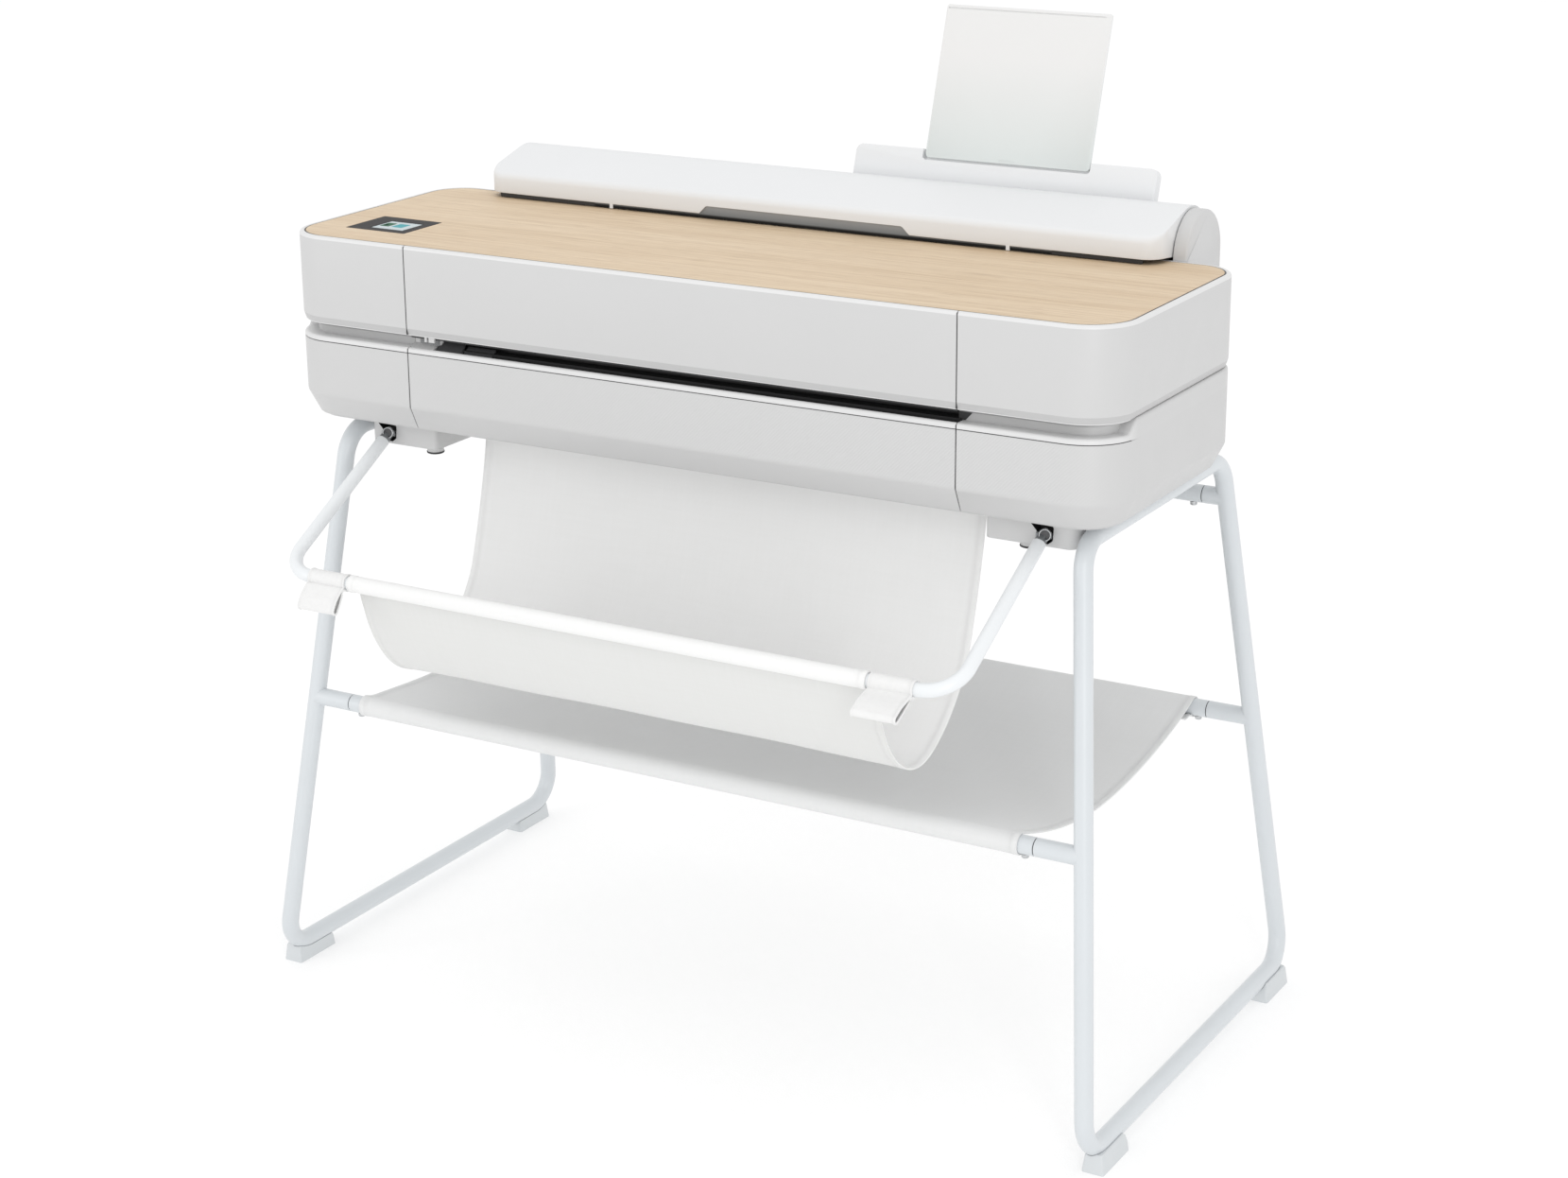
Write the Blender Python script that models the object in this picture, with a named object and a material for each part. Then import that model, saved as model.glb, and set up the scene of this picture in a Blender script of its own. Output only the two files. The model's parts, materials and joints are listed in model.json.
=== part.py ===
"""Large format plotter on its tube stand, with a paper bin, a shelf and its working parts.

Metres, +Z up, front towards -Y. The floor is z = 0. Every shape below is written in the stand's own
axes, whose x = 0, y = 0 is the middle of the four feet. One empty carries the whole assembly forward
or back, so that the world origin is under the middle of its overall box.
"""
import math

import bmesh
import bpy
from mathutils import Matrix, Vector
from mathutils.geometry import interpolate_bezier

# ---------------------------------------------------------------- driving dimensions
GAP = 0.0003                    # running gap between touching pieces
FEET_SPAN = 1.013               # overall width, over the feet

BODY_HALF = 0.48115             # half width of the casing
BODY_FRONT = -0.2119
BODY_REAR = 0.0945
CORNER_FRONT = 0.053            # plan radii of the casing's corners
CORNER_REAR = 0.043
SEAM = 0.319                    # half distance between the two front seams
WALL = 0.003
Z_PAN = 0.6356                  # lowest edge of the casing
Z_KINK = 0.6601                 # where the chamfer meets the upright face
CHAMFER = 0.0125
Z_TRIM = 0.7192                 # parting line under the lower casing's lip
Z_LIP = 0.7268                  # top of the lower casing's lip
Z_UPPER = 0.7392                # lower edge of the upper casing's face
Z_RIM = 0.8317                  # top of the rim and of the wooden deck
RIM = 0.0055

LEG_TUBE = 0.0095               # tube radii
BIN_TUBE = 0.0070
LEG_LEAN_Y = 0.1525             # how far a leg comes in per metre of height
LEG_LEAN_X = 0.0969
LEG_FOOT_Y = 0.2646             # leg line at floor level
LEG_RAIL_X = 0.4914
Z_RAIL = 0.0213
Z_TOP_BAR = 0.613

FOOT_WIDTH = 0.0237
FOOT_LENGTH = 0.0627
FOOT_OUT = 0.2483
FOOT_HEIGHT = 0.0205

Z_SHELF = 0.3163                # shelf tubes
SHELF_JOINT = 0.4130            # half length of a shelf tube
Z_CROSS = 0.569                 # upper rear cross tube
CROSS_JOINT = 0.4140

PIVOT = (0.3884, -0.1608, 0.6122)   # bin arm pivot, right side
BAR_Y, BAR_Z = -0.3481, 0.5090
BIN_HALF = 0.2969               # half width of the bin's fabric
SHELF_HALF = 0.397

ARCH_Y, ARCH_Z = 0.1375, 0.8316  # axis of the roll cover
ARCH_CAP = 0.045
LOW_CAP = 0.8120  # top of the left end cap, below the casing's rim
ARCH_COVER = 0.0475
COVER_HALF = 0.404
LID_SLOPE = math.radians(15.5)
LIP_Y = 0.061
LIP_BOTTOM = 0.8366
LIP_TOP = 0.8570
SKIRT_BOTTOM = 0.8090           # the cover's rear hangs down to here, in front of the bay's rear wall

TRAY_HINGE = (0.1735, 0.8735)   # y, z of the fence's lower edge
TRAY_LEAN = math.radians(17.9)
TRAY_X = (-0.0005, 0.3500)
SUPPORT_X = (0.0830, 0.2740)
SUPPORT_HINGE = (0.0243, 0.0023)    # along and out of the fence

ROLLER_Y, ROLLER_Z, ROLLER_R = -0.062, 0.7165, 0.0100
PINCH_R = 0.0060
SPINDLE_Y, SPINDLE_Z = 0.142, 0.752
RAIL_Y, RAIL_Z, RAIL_R = -0.088, 0.772, 0.005
PULLEY_X, PULLEY_Z, PULLEY_R = 0.440, 0.795, 0.0080
BELT_Y = (-0.0675, -0.0615)
CARRIAGE_X = 0.370
CUTTER_X = -0.300

# overall depth, from the bin's straps to the rear legs' lowest bend
DEPTH_FRONT = -0.3891
DEPTH_REAR = 0.26475
Y_SHIFT = -(DEPTH_FRONT + DEPTH_REAR) / 2

WHITE = ((0.86, 0.87, 0.87), 0.45, 0.0)
MATERIALS = {
    "white_plastic": WHITE,
    "bright_plastic": ((0.92, 0.92, 0.92), 0.42, 0.0),
    "powder_coat": ((0.83, 0.86, 0.89), 0.35, 0.1),
    "oak": ((0.78, 0.64, 0.45), 0.55, 0.0),
    "black_plastic": ((0.02, 0.02, 0.02), 0.5, 0.0),
    "grey_plastic": ((0.35, 0.36, 0.37), 0.5, 0.0),
    "screen_glass": ((0.05, 0.05, 0.07), 0.1, 0.0),
    "fabric": ((0.88, 0.88, 0.85), 0.9, 0.0),
    "steel": ((0.6, 0.61, 0.62), 0.3, 1.0),
    "rubber": ((0.03, 0.03, 0.03), 0.8, 0.0),
    "circuit_board": ((0.05, 0.22, 0.12), 0.5, 0.0),
}
INKS = {"cyan": (0.0, 0.45, 0.7), "magenta": (0.75, 0.05, 0.35), "yellow": (0.9, 0.8, 0.05),
        "black": (0.02, 0.02, 0.02)}


# ---------------------------------------------------------------- scene helpers
def clear_scene():
    for obj in list(bpy.data.objects):
        bpy.data.objects.remove(obj, do_unlink=True)


def material(name, look):
    made = bpy.data.materials.get(name) or bpy.data.materials.new(name)
    made.use_nodes = True
    shader = made.node_tree.nodes["Principled BSDF"]
    colour, roughness, metallic = look
    shader.inputs["Base Color"].default_value = (*colour, 1.0)
    shader.inputs["Roughness"].default_value = roughness
    shader.inputs["Metallic"].default_value = metallic
    made.diffuse_color = (*colour, 1.0)
    return made


def place(name, bm, slot, pivot=(0, 0, 0), sharp=32):
    """Makes an object of a bmesh in the stand's axes, with its origin on its joint's axis."""
    bmesh.ops.recalc_face_normals(bm, faces=bm.faces)
    bmesh.ops.translate(bm, verts=bm.verts, vec=-Vector(pivot))
    mesh = bpy.data.meshes.new(name)
    bm.to_mesh(mesh)
    bm.free()
    mesh.shade_smooth()
    mesh.set_sharp_from_angle(angle=math.radians(sharp))
    obj = bpy.data.objects.new(name, mesh)
    bpy.context.scene.collection.objects.link(obj)
    obj.parent = bpy.data.objects["assembly"]
    obj.location = pivot
    if slot:
        mesh.materials.append(material(slot, MATERIALS[slot]) if isinstance(slot, str) else slot)
    return obj


def tool(name, bm):
    """A cutter or a joined-on shape, which isn't a piece of its own."""
    obj = place(name, bm, None)
    obj.hide_render = True
    obj.display_type = "WIRE"
    return obj


def combine(obj, other, operation="DIFFERENCE"):
    modifier = obj.modifiers.new(operation.lower() + "_" + other.name, "BOOLEAN")
    modifier.operation = operation
    modifier.solver = "EXACT"
    modifier.object = other


def bevel(obj, width, segments=1, angle=40):
    modifier = obj.modifiers.new("edges", "BEVEL")
    modifier.width = width
    modifier.segments = segments
    modifier.limit_method = "ANGLE"
    modifier.angle_limit = math.radians(angle)


# ---------------------------------------------------------------- shape helpers
def skin(rings, closed=False):
    """Joins rings of points, each a closed loop, with caps at the ends unless the row of rings closes."""
    bm = bmesh.new()
    loops = [[bm.verts.new(p) for p in ring] for ring in rings]
    pairs = list(zip(loops, loops[1:]))
    if closed:
        pairs.append((loops[-1], loops[0]))
    for low, high in pairs:
        for i in range(len(low)):
            j = (i + 1) % len(low)
            bm.faces.new((low[i], low[j], high[j], high[i]))
    if not closed:
        bm.faces.new(loops[0])
        bm.faces.new(loops[-1])
    return bm


def along(axis, value, point):
    """A 3-D point from a place along an axis and the other two coordinates in order."""
    a, b = point
    return {"X": (value, a, b), "Y": (a, value, b), "Z": (a, b, value)}[axis]


def prism(outline, axis, low, high):
    return skin([[along(axis, value, p) for p in outline] for value in (low, high)])


def hollow_prism(outer, inner, axis, low, high):
    """A straight tube between two outlines with the same number of points."""
    rings = [[along(axis, v, p) for p in line] for line, v in
             ((outer, low), (outer, high), (inner, high), (inner, low))]
    return skin(rings, closed=True)


def box(low, high):
    outline = [(low[0], low[1]), (high[0], low[1]), (high[0], high[1]), (low[0], high[1])]
    return prism(outline, "Z", low[2], high[2])


def circle(centre, radius, sides):
    return [(centre[0] + radius * math.cos(2 * math.pi * i / sides),
             centre[1] + radius * math.sin(2 * math.pi * i / sides)) for i in range(sides)]


def arc(centre, radius, start, end, steps):
    """Points on an arc, angles in degrees."""
    angles = [math.radians(start + (end - start) * i / steps) for i in range(steps + 1)]
    return [(centre[0] + radius * math.cos(a), centre[1] + radius * math.sin(a)) for a in angles]


def rounded_rect(low, high, radii, steps=5):
    """Outline with a radius for each corner: low-low, high-low, high-high, low-high."""
    (x0, y0), (x1, y1) = low, high
    a, b, c, d = radii
    return (arc((x0 + a, y0 + a), a, 180, 270, steps) + arc((x1 - b, y0 + b), b, 270, 360, steps)
            + arc((x1 - c, y1 - c), c, 0, 90, steps) + arc((x0 + d, y1 - d), d, 90, 180, steps))


def turned(profile, axis, centre, sides=16):
    """A solid turned about a line along an axis; the profile lists (place along, radius)."""
    return skin([[along(axis, at, p) for p in circle(centre, radius, sides)] for at, radius in profile])


def fillet(points, radius, steps, closed=False):
    """Rounds the corners of a path of straight runs."""
    points = [Vector(p) for p in points]
    count = len(points)
    path = []
    for i, corner in enumerate(points):
        if not closed and i in (0, count - 1):
            path.append(corner)
            continue
        before = (points[i - 1] - corner).normalized()
        after = (points[(i + 1) % count] - corner).normalized()
        half = before.angle(after) / 2
        reach = radius / math.tan(half)
        middle = corner + (before + after).normalized() * (radius / math.sin(half))
        first = corner + before * reach - middle
        last = corner + after * reach - middle
        for k in range(steps + 1):
            path.append(middle + first.normalized().slerp(last.normalized(), k / steps) * radius)
    return path


def pipe(path, radius, sides, normal, closed=False):
    """A round bar along a flat path; normal is the path's plane's normal."""
    path = [Vector(p) for p in path]
    normal = Vector(normal).normalized()
    count = len(path)
    rings = []
    for i, point in enumerate(path):
        before = path[i - 1] if i or closed else point
        after = path[(i + 1) % count] if i < count - 1 or closed else point
        ahead = ((after - point).normalized() + (point - before).normalized()).normalized()
        side = normal.cross(ahead).normalized()
        rings.append([point + radius * (math.cos(a) * side + math.sin(a) * normal)
                      for a in (2 * math.pi * (k + 0.5) / sides for k in range(sides))])
    return skin(rings, closed)


def ribbon(line, thickness):
    """Outline of a thin strip that follows an open line, half its thickness each side."""
    line = [Vector(p) for p in line]
    left, right = [], []
    for i, p in enumerate(line):
        ahead = (line[min(i + 1, len(line) - 1)] - line[max(i - 1, 0)]).normalized()
        side = Vector((-ahead.y, ahead.x)) * thickness / 2
        left.append(p + side)
        right.append(p - side)
    return [tuple(p) for p in left + right[::-1]]


def bezier(start, handle_a, handle_b, end, steps):
    knots = [Vector((*p, 0)) for p in (start, handle_a, handle_b, end)]
    return [Vector((p.x, p.y)) for p in interpolate_bezier(*knots, steps + 1)]


# ---------------------------------------------------------------- stand
def leg_x(z):
    return LEG_RAIL_X - LEG_LEAN_X * (z - Z_RAIL)


def leg_y(z):
    return LEG_FOOT_Y - LEG_LEAN_Y * z


def leg_loop(side):
    corners = [(side * leg_x(z), s * leg_y(z), z) for z, s in
               ((Z_RAIL, -1), (Z_RAIL, 1), (Z_TOP_BAR, 1), (Z_TOP_BAR, -1))]
    return fillet(corners, 0.033, 5, closed=True)


def leg_bar(side, radius, sides):
    return pipe(leg_loop(side), radius, sides, (side, 0, LEG_LEAN_X), closed=True)


def make_stand():
    for side, word in ((-1, "left"), (1, "right")):
        frame = place("leg_frame_" + word, leg_bar(side, LEG_TUBE, 12), "powder_coat")
        stubs = ((Z_SHELF, -1, SHELF_JOINT), (Z_SHELF, 1, SHELF_JOINT), (Z_CROSS, 1, CROSS_JOINT))
        for number, (z, s, joint) in enumerate(stubs):
            ends = sorted((side * joint, side * leg_x(z)))
            profile = [(x, LEG_TUBE) for x in ends]
            stub = tool("stub_%s_%d" % (word, number), turned(profile, "X", (s * leg_y(z), z), 12))
            combine(frame, stub, "UNION")
        groove = tool("groove_" + word, leg_bar(side, LEG_TUBE + GAP, 16))
        for s, end in ((-1, "front"), (1, "rear")):
            outer, inner = s * FOOT_OUT, s * (FOOT_OUT - FOOT_LENGTH)
            outline = [(outer, 0), (inner, 0), (inner, 0.017), (outer, FOOT_HEIGHT)]
            middle = side * (FEET_SPAN - FOOT_WIDTH) / 2
            shoe = prism(outline, "X", middle - FOOT_WIDTH / 2, middle + FOOT_WIDTH / 2)
            foot = place("foot_%s_%s" % (end, word), shoe, "white_plastic")
            combine(foot, groove)
    for name, z, s, joint in (("shelf_tube_front", Z_SHELF, -1, SHELF_JOINT),
                              ("shelf_tube_rear", Z_SHELF, 1, SHELF_JOINT),
                              ("upper_cross_tube", Z_CROSS, 1, CROSS_JOINT)):
        half = joint - GAP
        place(name, turned([(-half, LEG_TUBE), (half, LEG_TUBE)], "X", (s * leg_y(z), z), 12), "powder_coat")


def make_docks():
    """The housings that join the casing to the stand, with the bin's pivots."""
    for side, word, outer, foot in ((-1, "left", 0.4145, 0.338), (1, "right", 0.4225, 0.3665)):
        x0, x1 = sorted((side * 0.326, side * outer))
        outline = rounded_rect((x0, -0.160), (x1, -0.070), (0.012,) * 4, 4)
        dock = place("dock_" + word, prism(outline, "Z", 0.6000, Z_PAN - 0.0030), "white_plastic")
        pivot = side * PIVOT[0]
        combine(dock, tool("recess_" + word, box((pivot - 0.0082, -0.170, 0.6025),
                                                 (pivot + 0.0130, -0.1500, 0.6225))))
        combine(dock, tool("bolt_hole_" + word, turned([(pivot - 0.0145, 0.0033), (pivot - 0.0020, 0.0033)],
                                                       "X", PIVOT[1:], 10)))
        profile = [(pivot - 0.0140, 0.0030), (pivot + 0.0075, 0.0030), (pivot + 0.0075, 0.0062),
                   (pivot + 0.0118, 0.0062)]
        place("pivot_bolt_" + word, turned(profile, "X", PIVOT[1:], 10), "steel")
        centre = (side * foot, -0.146)
        place("printer_foot_" + word, turned([(0.5935, 0.0085), (0.5950, 0.0095), (0.6000 - GAP, 0.0095)],
                                             "Z", centre, 14), "rubber")


# ---------------------------------------------------------------- bin and shelf
def make_bin():
    x, y, z = PIVOT
    down = (Vector((0, BAR_Y, BAR_Z)) - Vector((0, y, z))).normalized()
    past = Vector((0, y, z)) - down * 0.0065
    corners = [(-x, past.y, past.z), (-x, BAR_Y, BAR_Z), (x, BAR_Y, BAR_Z), (x, past.y, past.z)]
    path = fillet(corners, 0.036, 5)
    normal = Vector((1, 0, 0)).cross(down)
    frame = place("bin_frame", pipe(path, BIN_TUBE, 10, normal), "powder_coat", (0, y, z))
    for side, word in ((-1, "left"), (1, "right")):
        hole = [(side * x - 0.012, 0.0033), (side * x + 0.012, 0.0033)]
        combine(frame, tool("arm_hole_" + word, turned(hole, "X", (y, z), 10)))
    rear = bezier((-0.1017, 0.6300), (-0.1060, 0.5800), (-0.1250, 0.5150), (-0.1400, 0.4717), 5)
    belly = bezier((-0.1400, 0.4717), (-0.1580, 0.4300), (-0.2080, 0.3880), (-0.2420, 0.3880), 7)
    front = bezier((-0.2420, 0.3880), (-0.2800, 0.3880), (-0.3120, 0.4340), (-0.3360, 0.4860), 6)
    line = rear + belly[1:] + front[1:]
    place("bin_sling", prism(ribbon(line, 0.003), "X", -BIN_HALF, BIN_HALF), "fabric")
    for side, word, tip in ((-1, "left", (-0.3730, 0.4827)), (1, "right", (-0.3880, 0.4900))):
        x0, x1 = sorted((side * 0.3035, side * 0.3500))
        place("strap_loop_" + word, prism(ribbon(strap_line(tip), 0.0014), "X", x0, x1), "fabric", (0, y, z))


def strap_line(tip):
    """A strap round the bin's bar; its two layers meet in front and go on as a flattened loop to the tip."""
    tip = Vector(tip)
    meet = Vector((BAR_Y - 0.0110, BAR_Z - 0.0065))
    ahead = (tip - meet).normalized()
    up = Vector((ahead.y, -ahead.x))
    wrap = arc((BAR_Y, BAR_Z), BIN_TUBE + 0.0011, -105, 175, 12)
    middle = (meet + tip) / 2
    over = [meet + up * 0.0020, middle + up * 0.0040, tip + up * 0.0016]
    under = [tip - up * 0.0010, middle - up * 0.0036, meet - up * 0.0026 + ahead * 0.0015]
    return [meet - up * 0.0004] + wrap + over + under


def make_shelf():
    reach = leg_y(Z_SHELF) - LEG_TUBE - 0.003
    low = 0.0275
    top = Z_SHELF - 0.004
    half_a = bezier((-reach, top), (-0.150, top - 0.020), (-0.090, top - low), (-0.020, top - low), 5)
    half_b = bezier((-0.020, top - low), (0.060, top - low), (0.140, top - 0.012), (reach, top), 5)
    place("shelf_sling", prism(ribbon(half_a + half_b[1:], 0.003), "X", -SHELF_HALF, SHELF_HALF), "fabric")


# ---------------------------------------------------------------- casing
def upper_profile(t):
    """Section of the upper casing as (depth from the face, height). t = 1 where the two casings close up."""
    lift = 0.0035 * t
    return [(0, 0.7410), (0, Z_RIM - 0.0040), (0.0010, Z_RIM - 0.0011), (0.0034, Z_RIM),
            (0.0052, Z_RIM - 0.0002), (RIM, Z_RIM - 0.0012), (RIM, 0.8262), (WALL, 0.8240),
            (WALL, 0.7420 + lift), (0.0180, 0.7380 + lift), (0.0180, 0.7350 + lift), (0.0080, 0.7350 + lift),
            (0.0012, Z_UPPER)]


def lower_profile(t):
    """Section of the lower casing's end, with the inner wall of the groove above its lip."""
    lift = 0.0102 * t
    return [(0.0170, Z_PAN), (0.0132, Z_PAN), (0.0118, Z_PAN + 0.0008), (0.0004, Z_KINK - 0.0006),
            (0, Z_KINK + 0.0009), (0, Z_TRIM - 0.0007), (0.0010 * (1 - t), Z_TRIM), (0, Z_TRIM + 0.0007),
            (0, Z_LIP - 0.0036 + lift), (0.0010, Z_LIP - 0.0012 + lift), (0.0036, Z_LIP + lift),
            (0.0150, Z_LIP + lift), (0.0150, max(0.7345, Z_LIP + lift + 0.0002)),
            (0.0180, max(0.7345, Z_LIP + lift + 0.0002)), (0.0180, Z_LIP - 0.0030 + lift),
            (WALL, Z_LIP - 0.0030 + lift), (WALL, Z_KINK + 0.0011), (0.0148, Z_PAN + 0.0030),
            (0.0170, Z_PAN + 0.0030)]


def end_shell(side, profile):
    """A wall swept from the front seam round the casing's end to the rear seam."""
    x0 = SEAM + GAP
    stations = [(lambda d: (x0, BODY_FRONT + d), 0.0)]
    steps_front, steps_rear = 9, 6
    for i in range(steps_front + 1):
        a = math.radians(-90 + 90 * i / steps_front)
        close = min(1.0, max(0.0, (i / steps_front - 0.66) / 0.34))
        stations.append((lambda d, a=a: (
            BODY_HALF - CORNER_FRONT + (CORNER_FRONT - d) * math.cos(a),
            BODY_FRONT + CORNER_FRONT + (CORNER_FRONT - d) * math.sin(a)), close))
    for i in range(steps_rear + 1):
        a = math.radians(90 * i / steps_rear)
        stations.append((lambda d, a=a: (BODY_HALF - CORNER_REAR + (CORNER_REAR - d) * math.cos(a),
                                         BODY_REAR - CORNER_REAR + (CORNER_REAR - d) * math.sin(a)), 1.0))
    stations.append((lambda d: (x0, BODY_REAR - d), 1.0))
    rings = []
    for place_at, close in stations:
        ring = []
        for depth, z in profile(close):
            x, y = place_at(depth)
            ring.append((side * x, y, z))
        rings.append(ring)
    return skin(rings)


def make_casing():
    for side, word in ((-1, "left"), (1, "right")):
        place("upper_end_" + word, end_shell(side, upper_profile), "white_plastic")
        place("base_end_" + word, end_shell(side, lower_profile), "white_plastic")
    reach = SEAM - GAP
    front = [(BODY_FRONT + d, z) for d, z in lower_profile(0.0)[:11]]
    front += [(BODY_FRONT + d, z) for d, z in
              ((0.0120, Z_LIP), (0.0120, Z_LIP - 0.003), (WALL, Z_LIP - 0.003), (WALL, Z_KINK + 0.0011),
               (0.0148, Z_PAN + 0.003), (0.0170, Z_PAN + 0.003))]
    place("base_front", prism(front, "X", -reach, reach), "white_plastic")
    inset = 0.0170 + GAP
    pan = rounded_rect((-BODY_HALF + inset, BODY_FRONT + inset), (BODY_HALF - inset, BODY_REAR - inset),
                       (CORNER_FRONT - inset,) * 2 + (CORNER_REAR - inset,) * 2)
    place("bottom_pan", prism(pan, "Z", Z_PAN - 0.0027, Z_PAN), "white_plastic")
    rear = [(0, Z_PAN), (0, Z_RIM - 0.0040), (0.0010, Z_RIM - 0.0011), (0.0034, Z_RIM), (RIM, Z_RIM - 0.0012),
            (RIM, 0.8262), (WALL, 0.8240), (WALL, Z_PAN)]
    wall = prism([(BODY_REAR - d, z) for d, z in rear], "X", -reach, reach)
    cover = place("rear_cover", wall, "white_plastic")
    combine(cover, tool("inlet_hole", box((0.2797, 0.085, 0.6472), (0.3073, 0.100, 0.6708))))
    window = [(0, 0.7410), (0, Z_RIM - 0.0040), (0.0010, Z_RIM - 0.0011), (0.0034, Z_RIM),
              (0.0052, Z_RIM - 0.0002), (RIM, Z_RIM - 0.0012), (RIM, 0.8262), (WALL, 0.8240), (WALL, 0.7420),
              (0.0080, 0.7380), (0.0080, 0.7350), (0.0012, Z_UPPER)]
    shell = prism([(BODY_FRONT + d, z) for d, z in window], "X", -reach, reach)
    place("front_window", shell, "white_plastic", (0, BODY_FRONT + RIM, Z_RIM))
    inset = RIM + 0.0006
    deck = rounded_rect((-BODY_HALF + inset, BODY_FRONT + inset), (BODY_HALF - inset, BODY_REAR - inset),
                        (CORNER_FRONT - inset,) * 2 + (CORNER_REAR - inset,) * 2, 7)
    wood = place("wood_top", prism(deck, "Z", 0.8265, Z_RIM - 0.0002), "oak")
    combine(wood, tool("display_hole", box((-0.4346, -0.1586, 0.81), (-0.3574, -0.0899, 0.84))))
    place("display", box((-0.4343, -0.1583, 0.8205), (-0.3577, -0.0902, Z_RIM - 0.0001)), "screen_glass")
    inlet = place("power_inlet", box((0.2800, 0.0780, 0.6475), (0.3070, 0.0952, 0.6705)), "black_plastic")
    combine(inlet, tool("inlet_socket", box((0.2830, 0.0850, 0.6515), (0.3040, 0.1100, 0.6665))))


# ---------------------------------------------------------------- roll bay, cover and sheet support
def end_outline(side, inset, foot):
    """An end cap's section behind the casing's rear wall: D-shaped on the right, low on the left."""
    step, radius = BODY_REAR + GAP, ARCH_CAP - inset
    if side > 0:
        top = arc((ARCH_Y, ARCH_Z), radius, 0, 180, 14)
        top += [(ARCH_Y - radius, Z_RIM + GAP), (step, Z_RIM + GAP)]
    else:
        level, lug = LOW_CAP - inset, 0.0075 - inset / 2
        top = arc((ARCH_Y + radius - 0.012, level - 0.012), 0.012, 0, 90, 4)
        top += [(ARCH_Y + lug, level)] + arc((ARCH_Y, ARCH_Z), lug, 0, 180, 8)
        top += [(ARCH_Y - lug, level), (step, level)]
    return top + [(step, foot), (ARCH_Y + radius, foot)]


def make_roll_bay():
    front, rear, floor = 0.0952, 0.1885, 0.678
    t = 0.0024
    wall_top = SKIRT_BOTTOM - 0.0010
    trough = [(front, 0.8300), (front, floor + 0.012), (front + 0.012, floor), (rear - 0.016, floor),
              (rear, floor + 0.016), (rear, wall_top), (rear - t, wall_top), (rear - t, floor + 0.017),
              (rear - 0.017, floor + t), (front + 0.013, floor + t), (front + t, floor + 0.013),
              (front + t, 0.8300)]
    place("roll_housing", prism(trough, "X", -0.4050, 0.4050), "white_plastic")
    for side, word in ((-1, "left"), (1, "right")):
        rings = [[(side * x, y, z) for y, z in end_outline(side, inset, 0.684 + inset)] for x, inset in
                 ((0.4055, 0.0), (0.4175, 0.0), (0.4200, 0.0025))]
        cap = place("end_cap_" + word, skin(rings), "white_plastic")
        socket = sorted((side * 0.3990, side * 0.4130))
        combine(cap, tool("spindle_socket_" + word,
                          turned([(x, 0.0093) for x in socket], "X", (SPINDLE_Y, SPINDLE_Z), 16)))
        pin = sorted((side * 0.4000, side * 0.4100))
        pin_shape = turned([(x, 0.0040) for x in pin], "X", (ARCH_Y, ARCH_Z), 12)
        combine(cap, tool("cover_pin_" + word, pin_shape), "UNION")
    hub = 0.022
    profile = []
    for s in (-1, 1):
        steps = [(0.411, 0.0088), (0.320, 0.0088), (0.320, hub), (0.308, hub), (0.308, 0.0105)]
        profile += [(s * x, r) for x, r in (steps if s < 0 else steps[::-1])]
    place("roll_spindle", turned(profile, "X", (SPINDLE_Y, SPINDLE_Z), 16), "black_plastic",
          (0, SPINDLE_Y, SPINDLE_Z))


def cover_section(inset, back, low):
    """Section of the roll cover: lip, sloped lid and the round of its rear. back moves the lip rearwards."""
    radius = ARCH_COVER - inset
    touch = 90 + math.degrees(LID_SLOPE)
    y_touch = ARCH_Y + radius * math.cos(math.radians(touch))
    z_touch = ARCH_Z + radius * math.sin(math.radians(touch))
    lip = LIP_Y + inset + back
    z_lid = z_touch - (y_touch - lip - 0.002) * math.tan(LID_SLOPE)
    shape = [(lip, low), (lip, min(LIP_TOP, z_lid - 0.003)), (lip + 0.002, z_lid)]
    shape += arc((ARCH_Y, ARCH_Z), radius, touch, 0, 11)
    return shape


def cover_block(inset, half, low, tail):
    corner = 0.020 - inset
    rings = []
    for s in (-1, 1):
        for i in range(5):
            a = math.radians(22.5 * (4 - i if s < 0 else i))
            x = s * (half - corner + corner * math.sin(a))
            section = cover_section(inset, corner * (1 - math.cos(a)), low) + tail
            rings.append([(x, y, z) for y, z in section])
    return skin(rings)


def make_roll_cover():
    back = ARCH_Y + ARCH_COVER
    ear = [(back, SKIRT_BOTTOM), (back - 0.0060, SKIRT_BOTTOM), (0.1520, 0.8262)]
    ear += arc((ARCH_Y, ARCH_Z), 0.0090, -40, -150, 4) + [(0.1180, 0.8320)]
    cover = place("roll_cover", cover_block(0.0, COVER_HALF, LIP_BOTTOM, ear), "bright_plastic",
                  (0, ARCH_Y, ARCH_Z))
    below = [(ARCH_Y + ARCH_COVER - 0.0025, 0.79), (LIP_Y + 0.03, 0.79)]
    combine(cover, tool("cover_inside", cover_block(0.0025, COVER_HALF - 0.0025, 0.79, below)))
    notch = [(-0.1270, LIP_BOTTOM - 0.005), (0.1270, LIP_BOTTOM - 0.005), (0.1270, LIP_BOTTOM + 0.0005),
             (0.1180, LIP_BOTTOM + 0.0090), (-0.1180, LIP_BOTTOM + 0.0090), (-0.1270, LIP_BOTTOM + 0.0005)]
    combine(cover, tool("finger_notch", prism(notch, "Y", LIP_Y - 0.01, LIP_Y + 0.01)))
    for side, word in ((-1, "left"), (1, "right")):
        hole = sorted((side * (COVER_HALF - 0.005), side * (COVER_HALF + 0.002)))
        combine(cover, tool("cover_pin_hole_" + word,
                            turned([(x, 0.0043) for x in hole], "X", (ARCH_Y, ARCH_Z), 12)))


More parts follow.
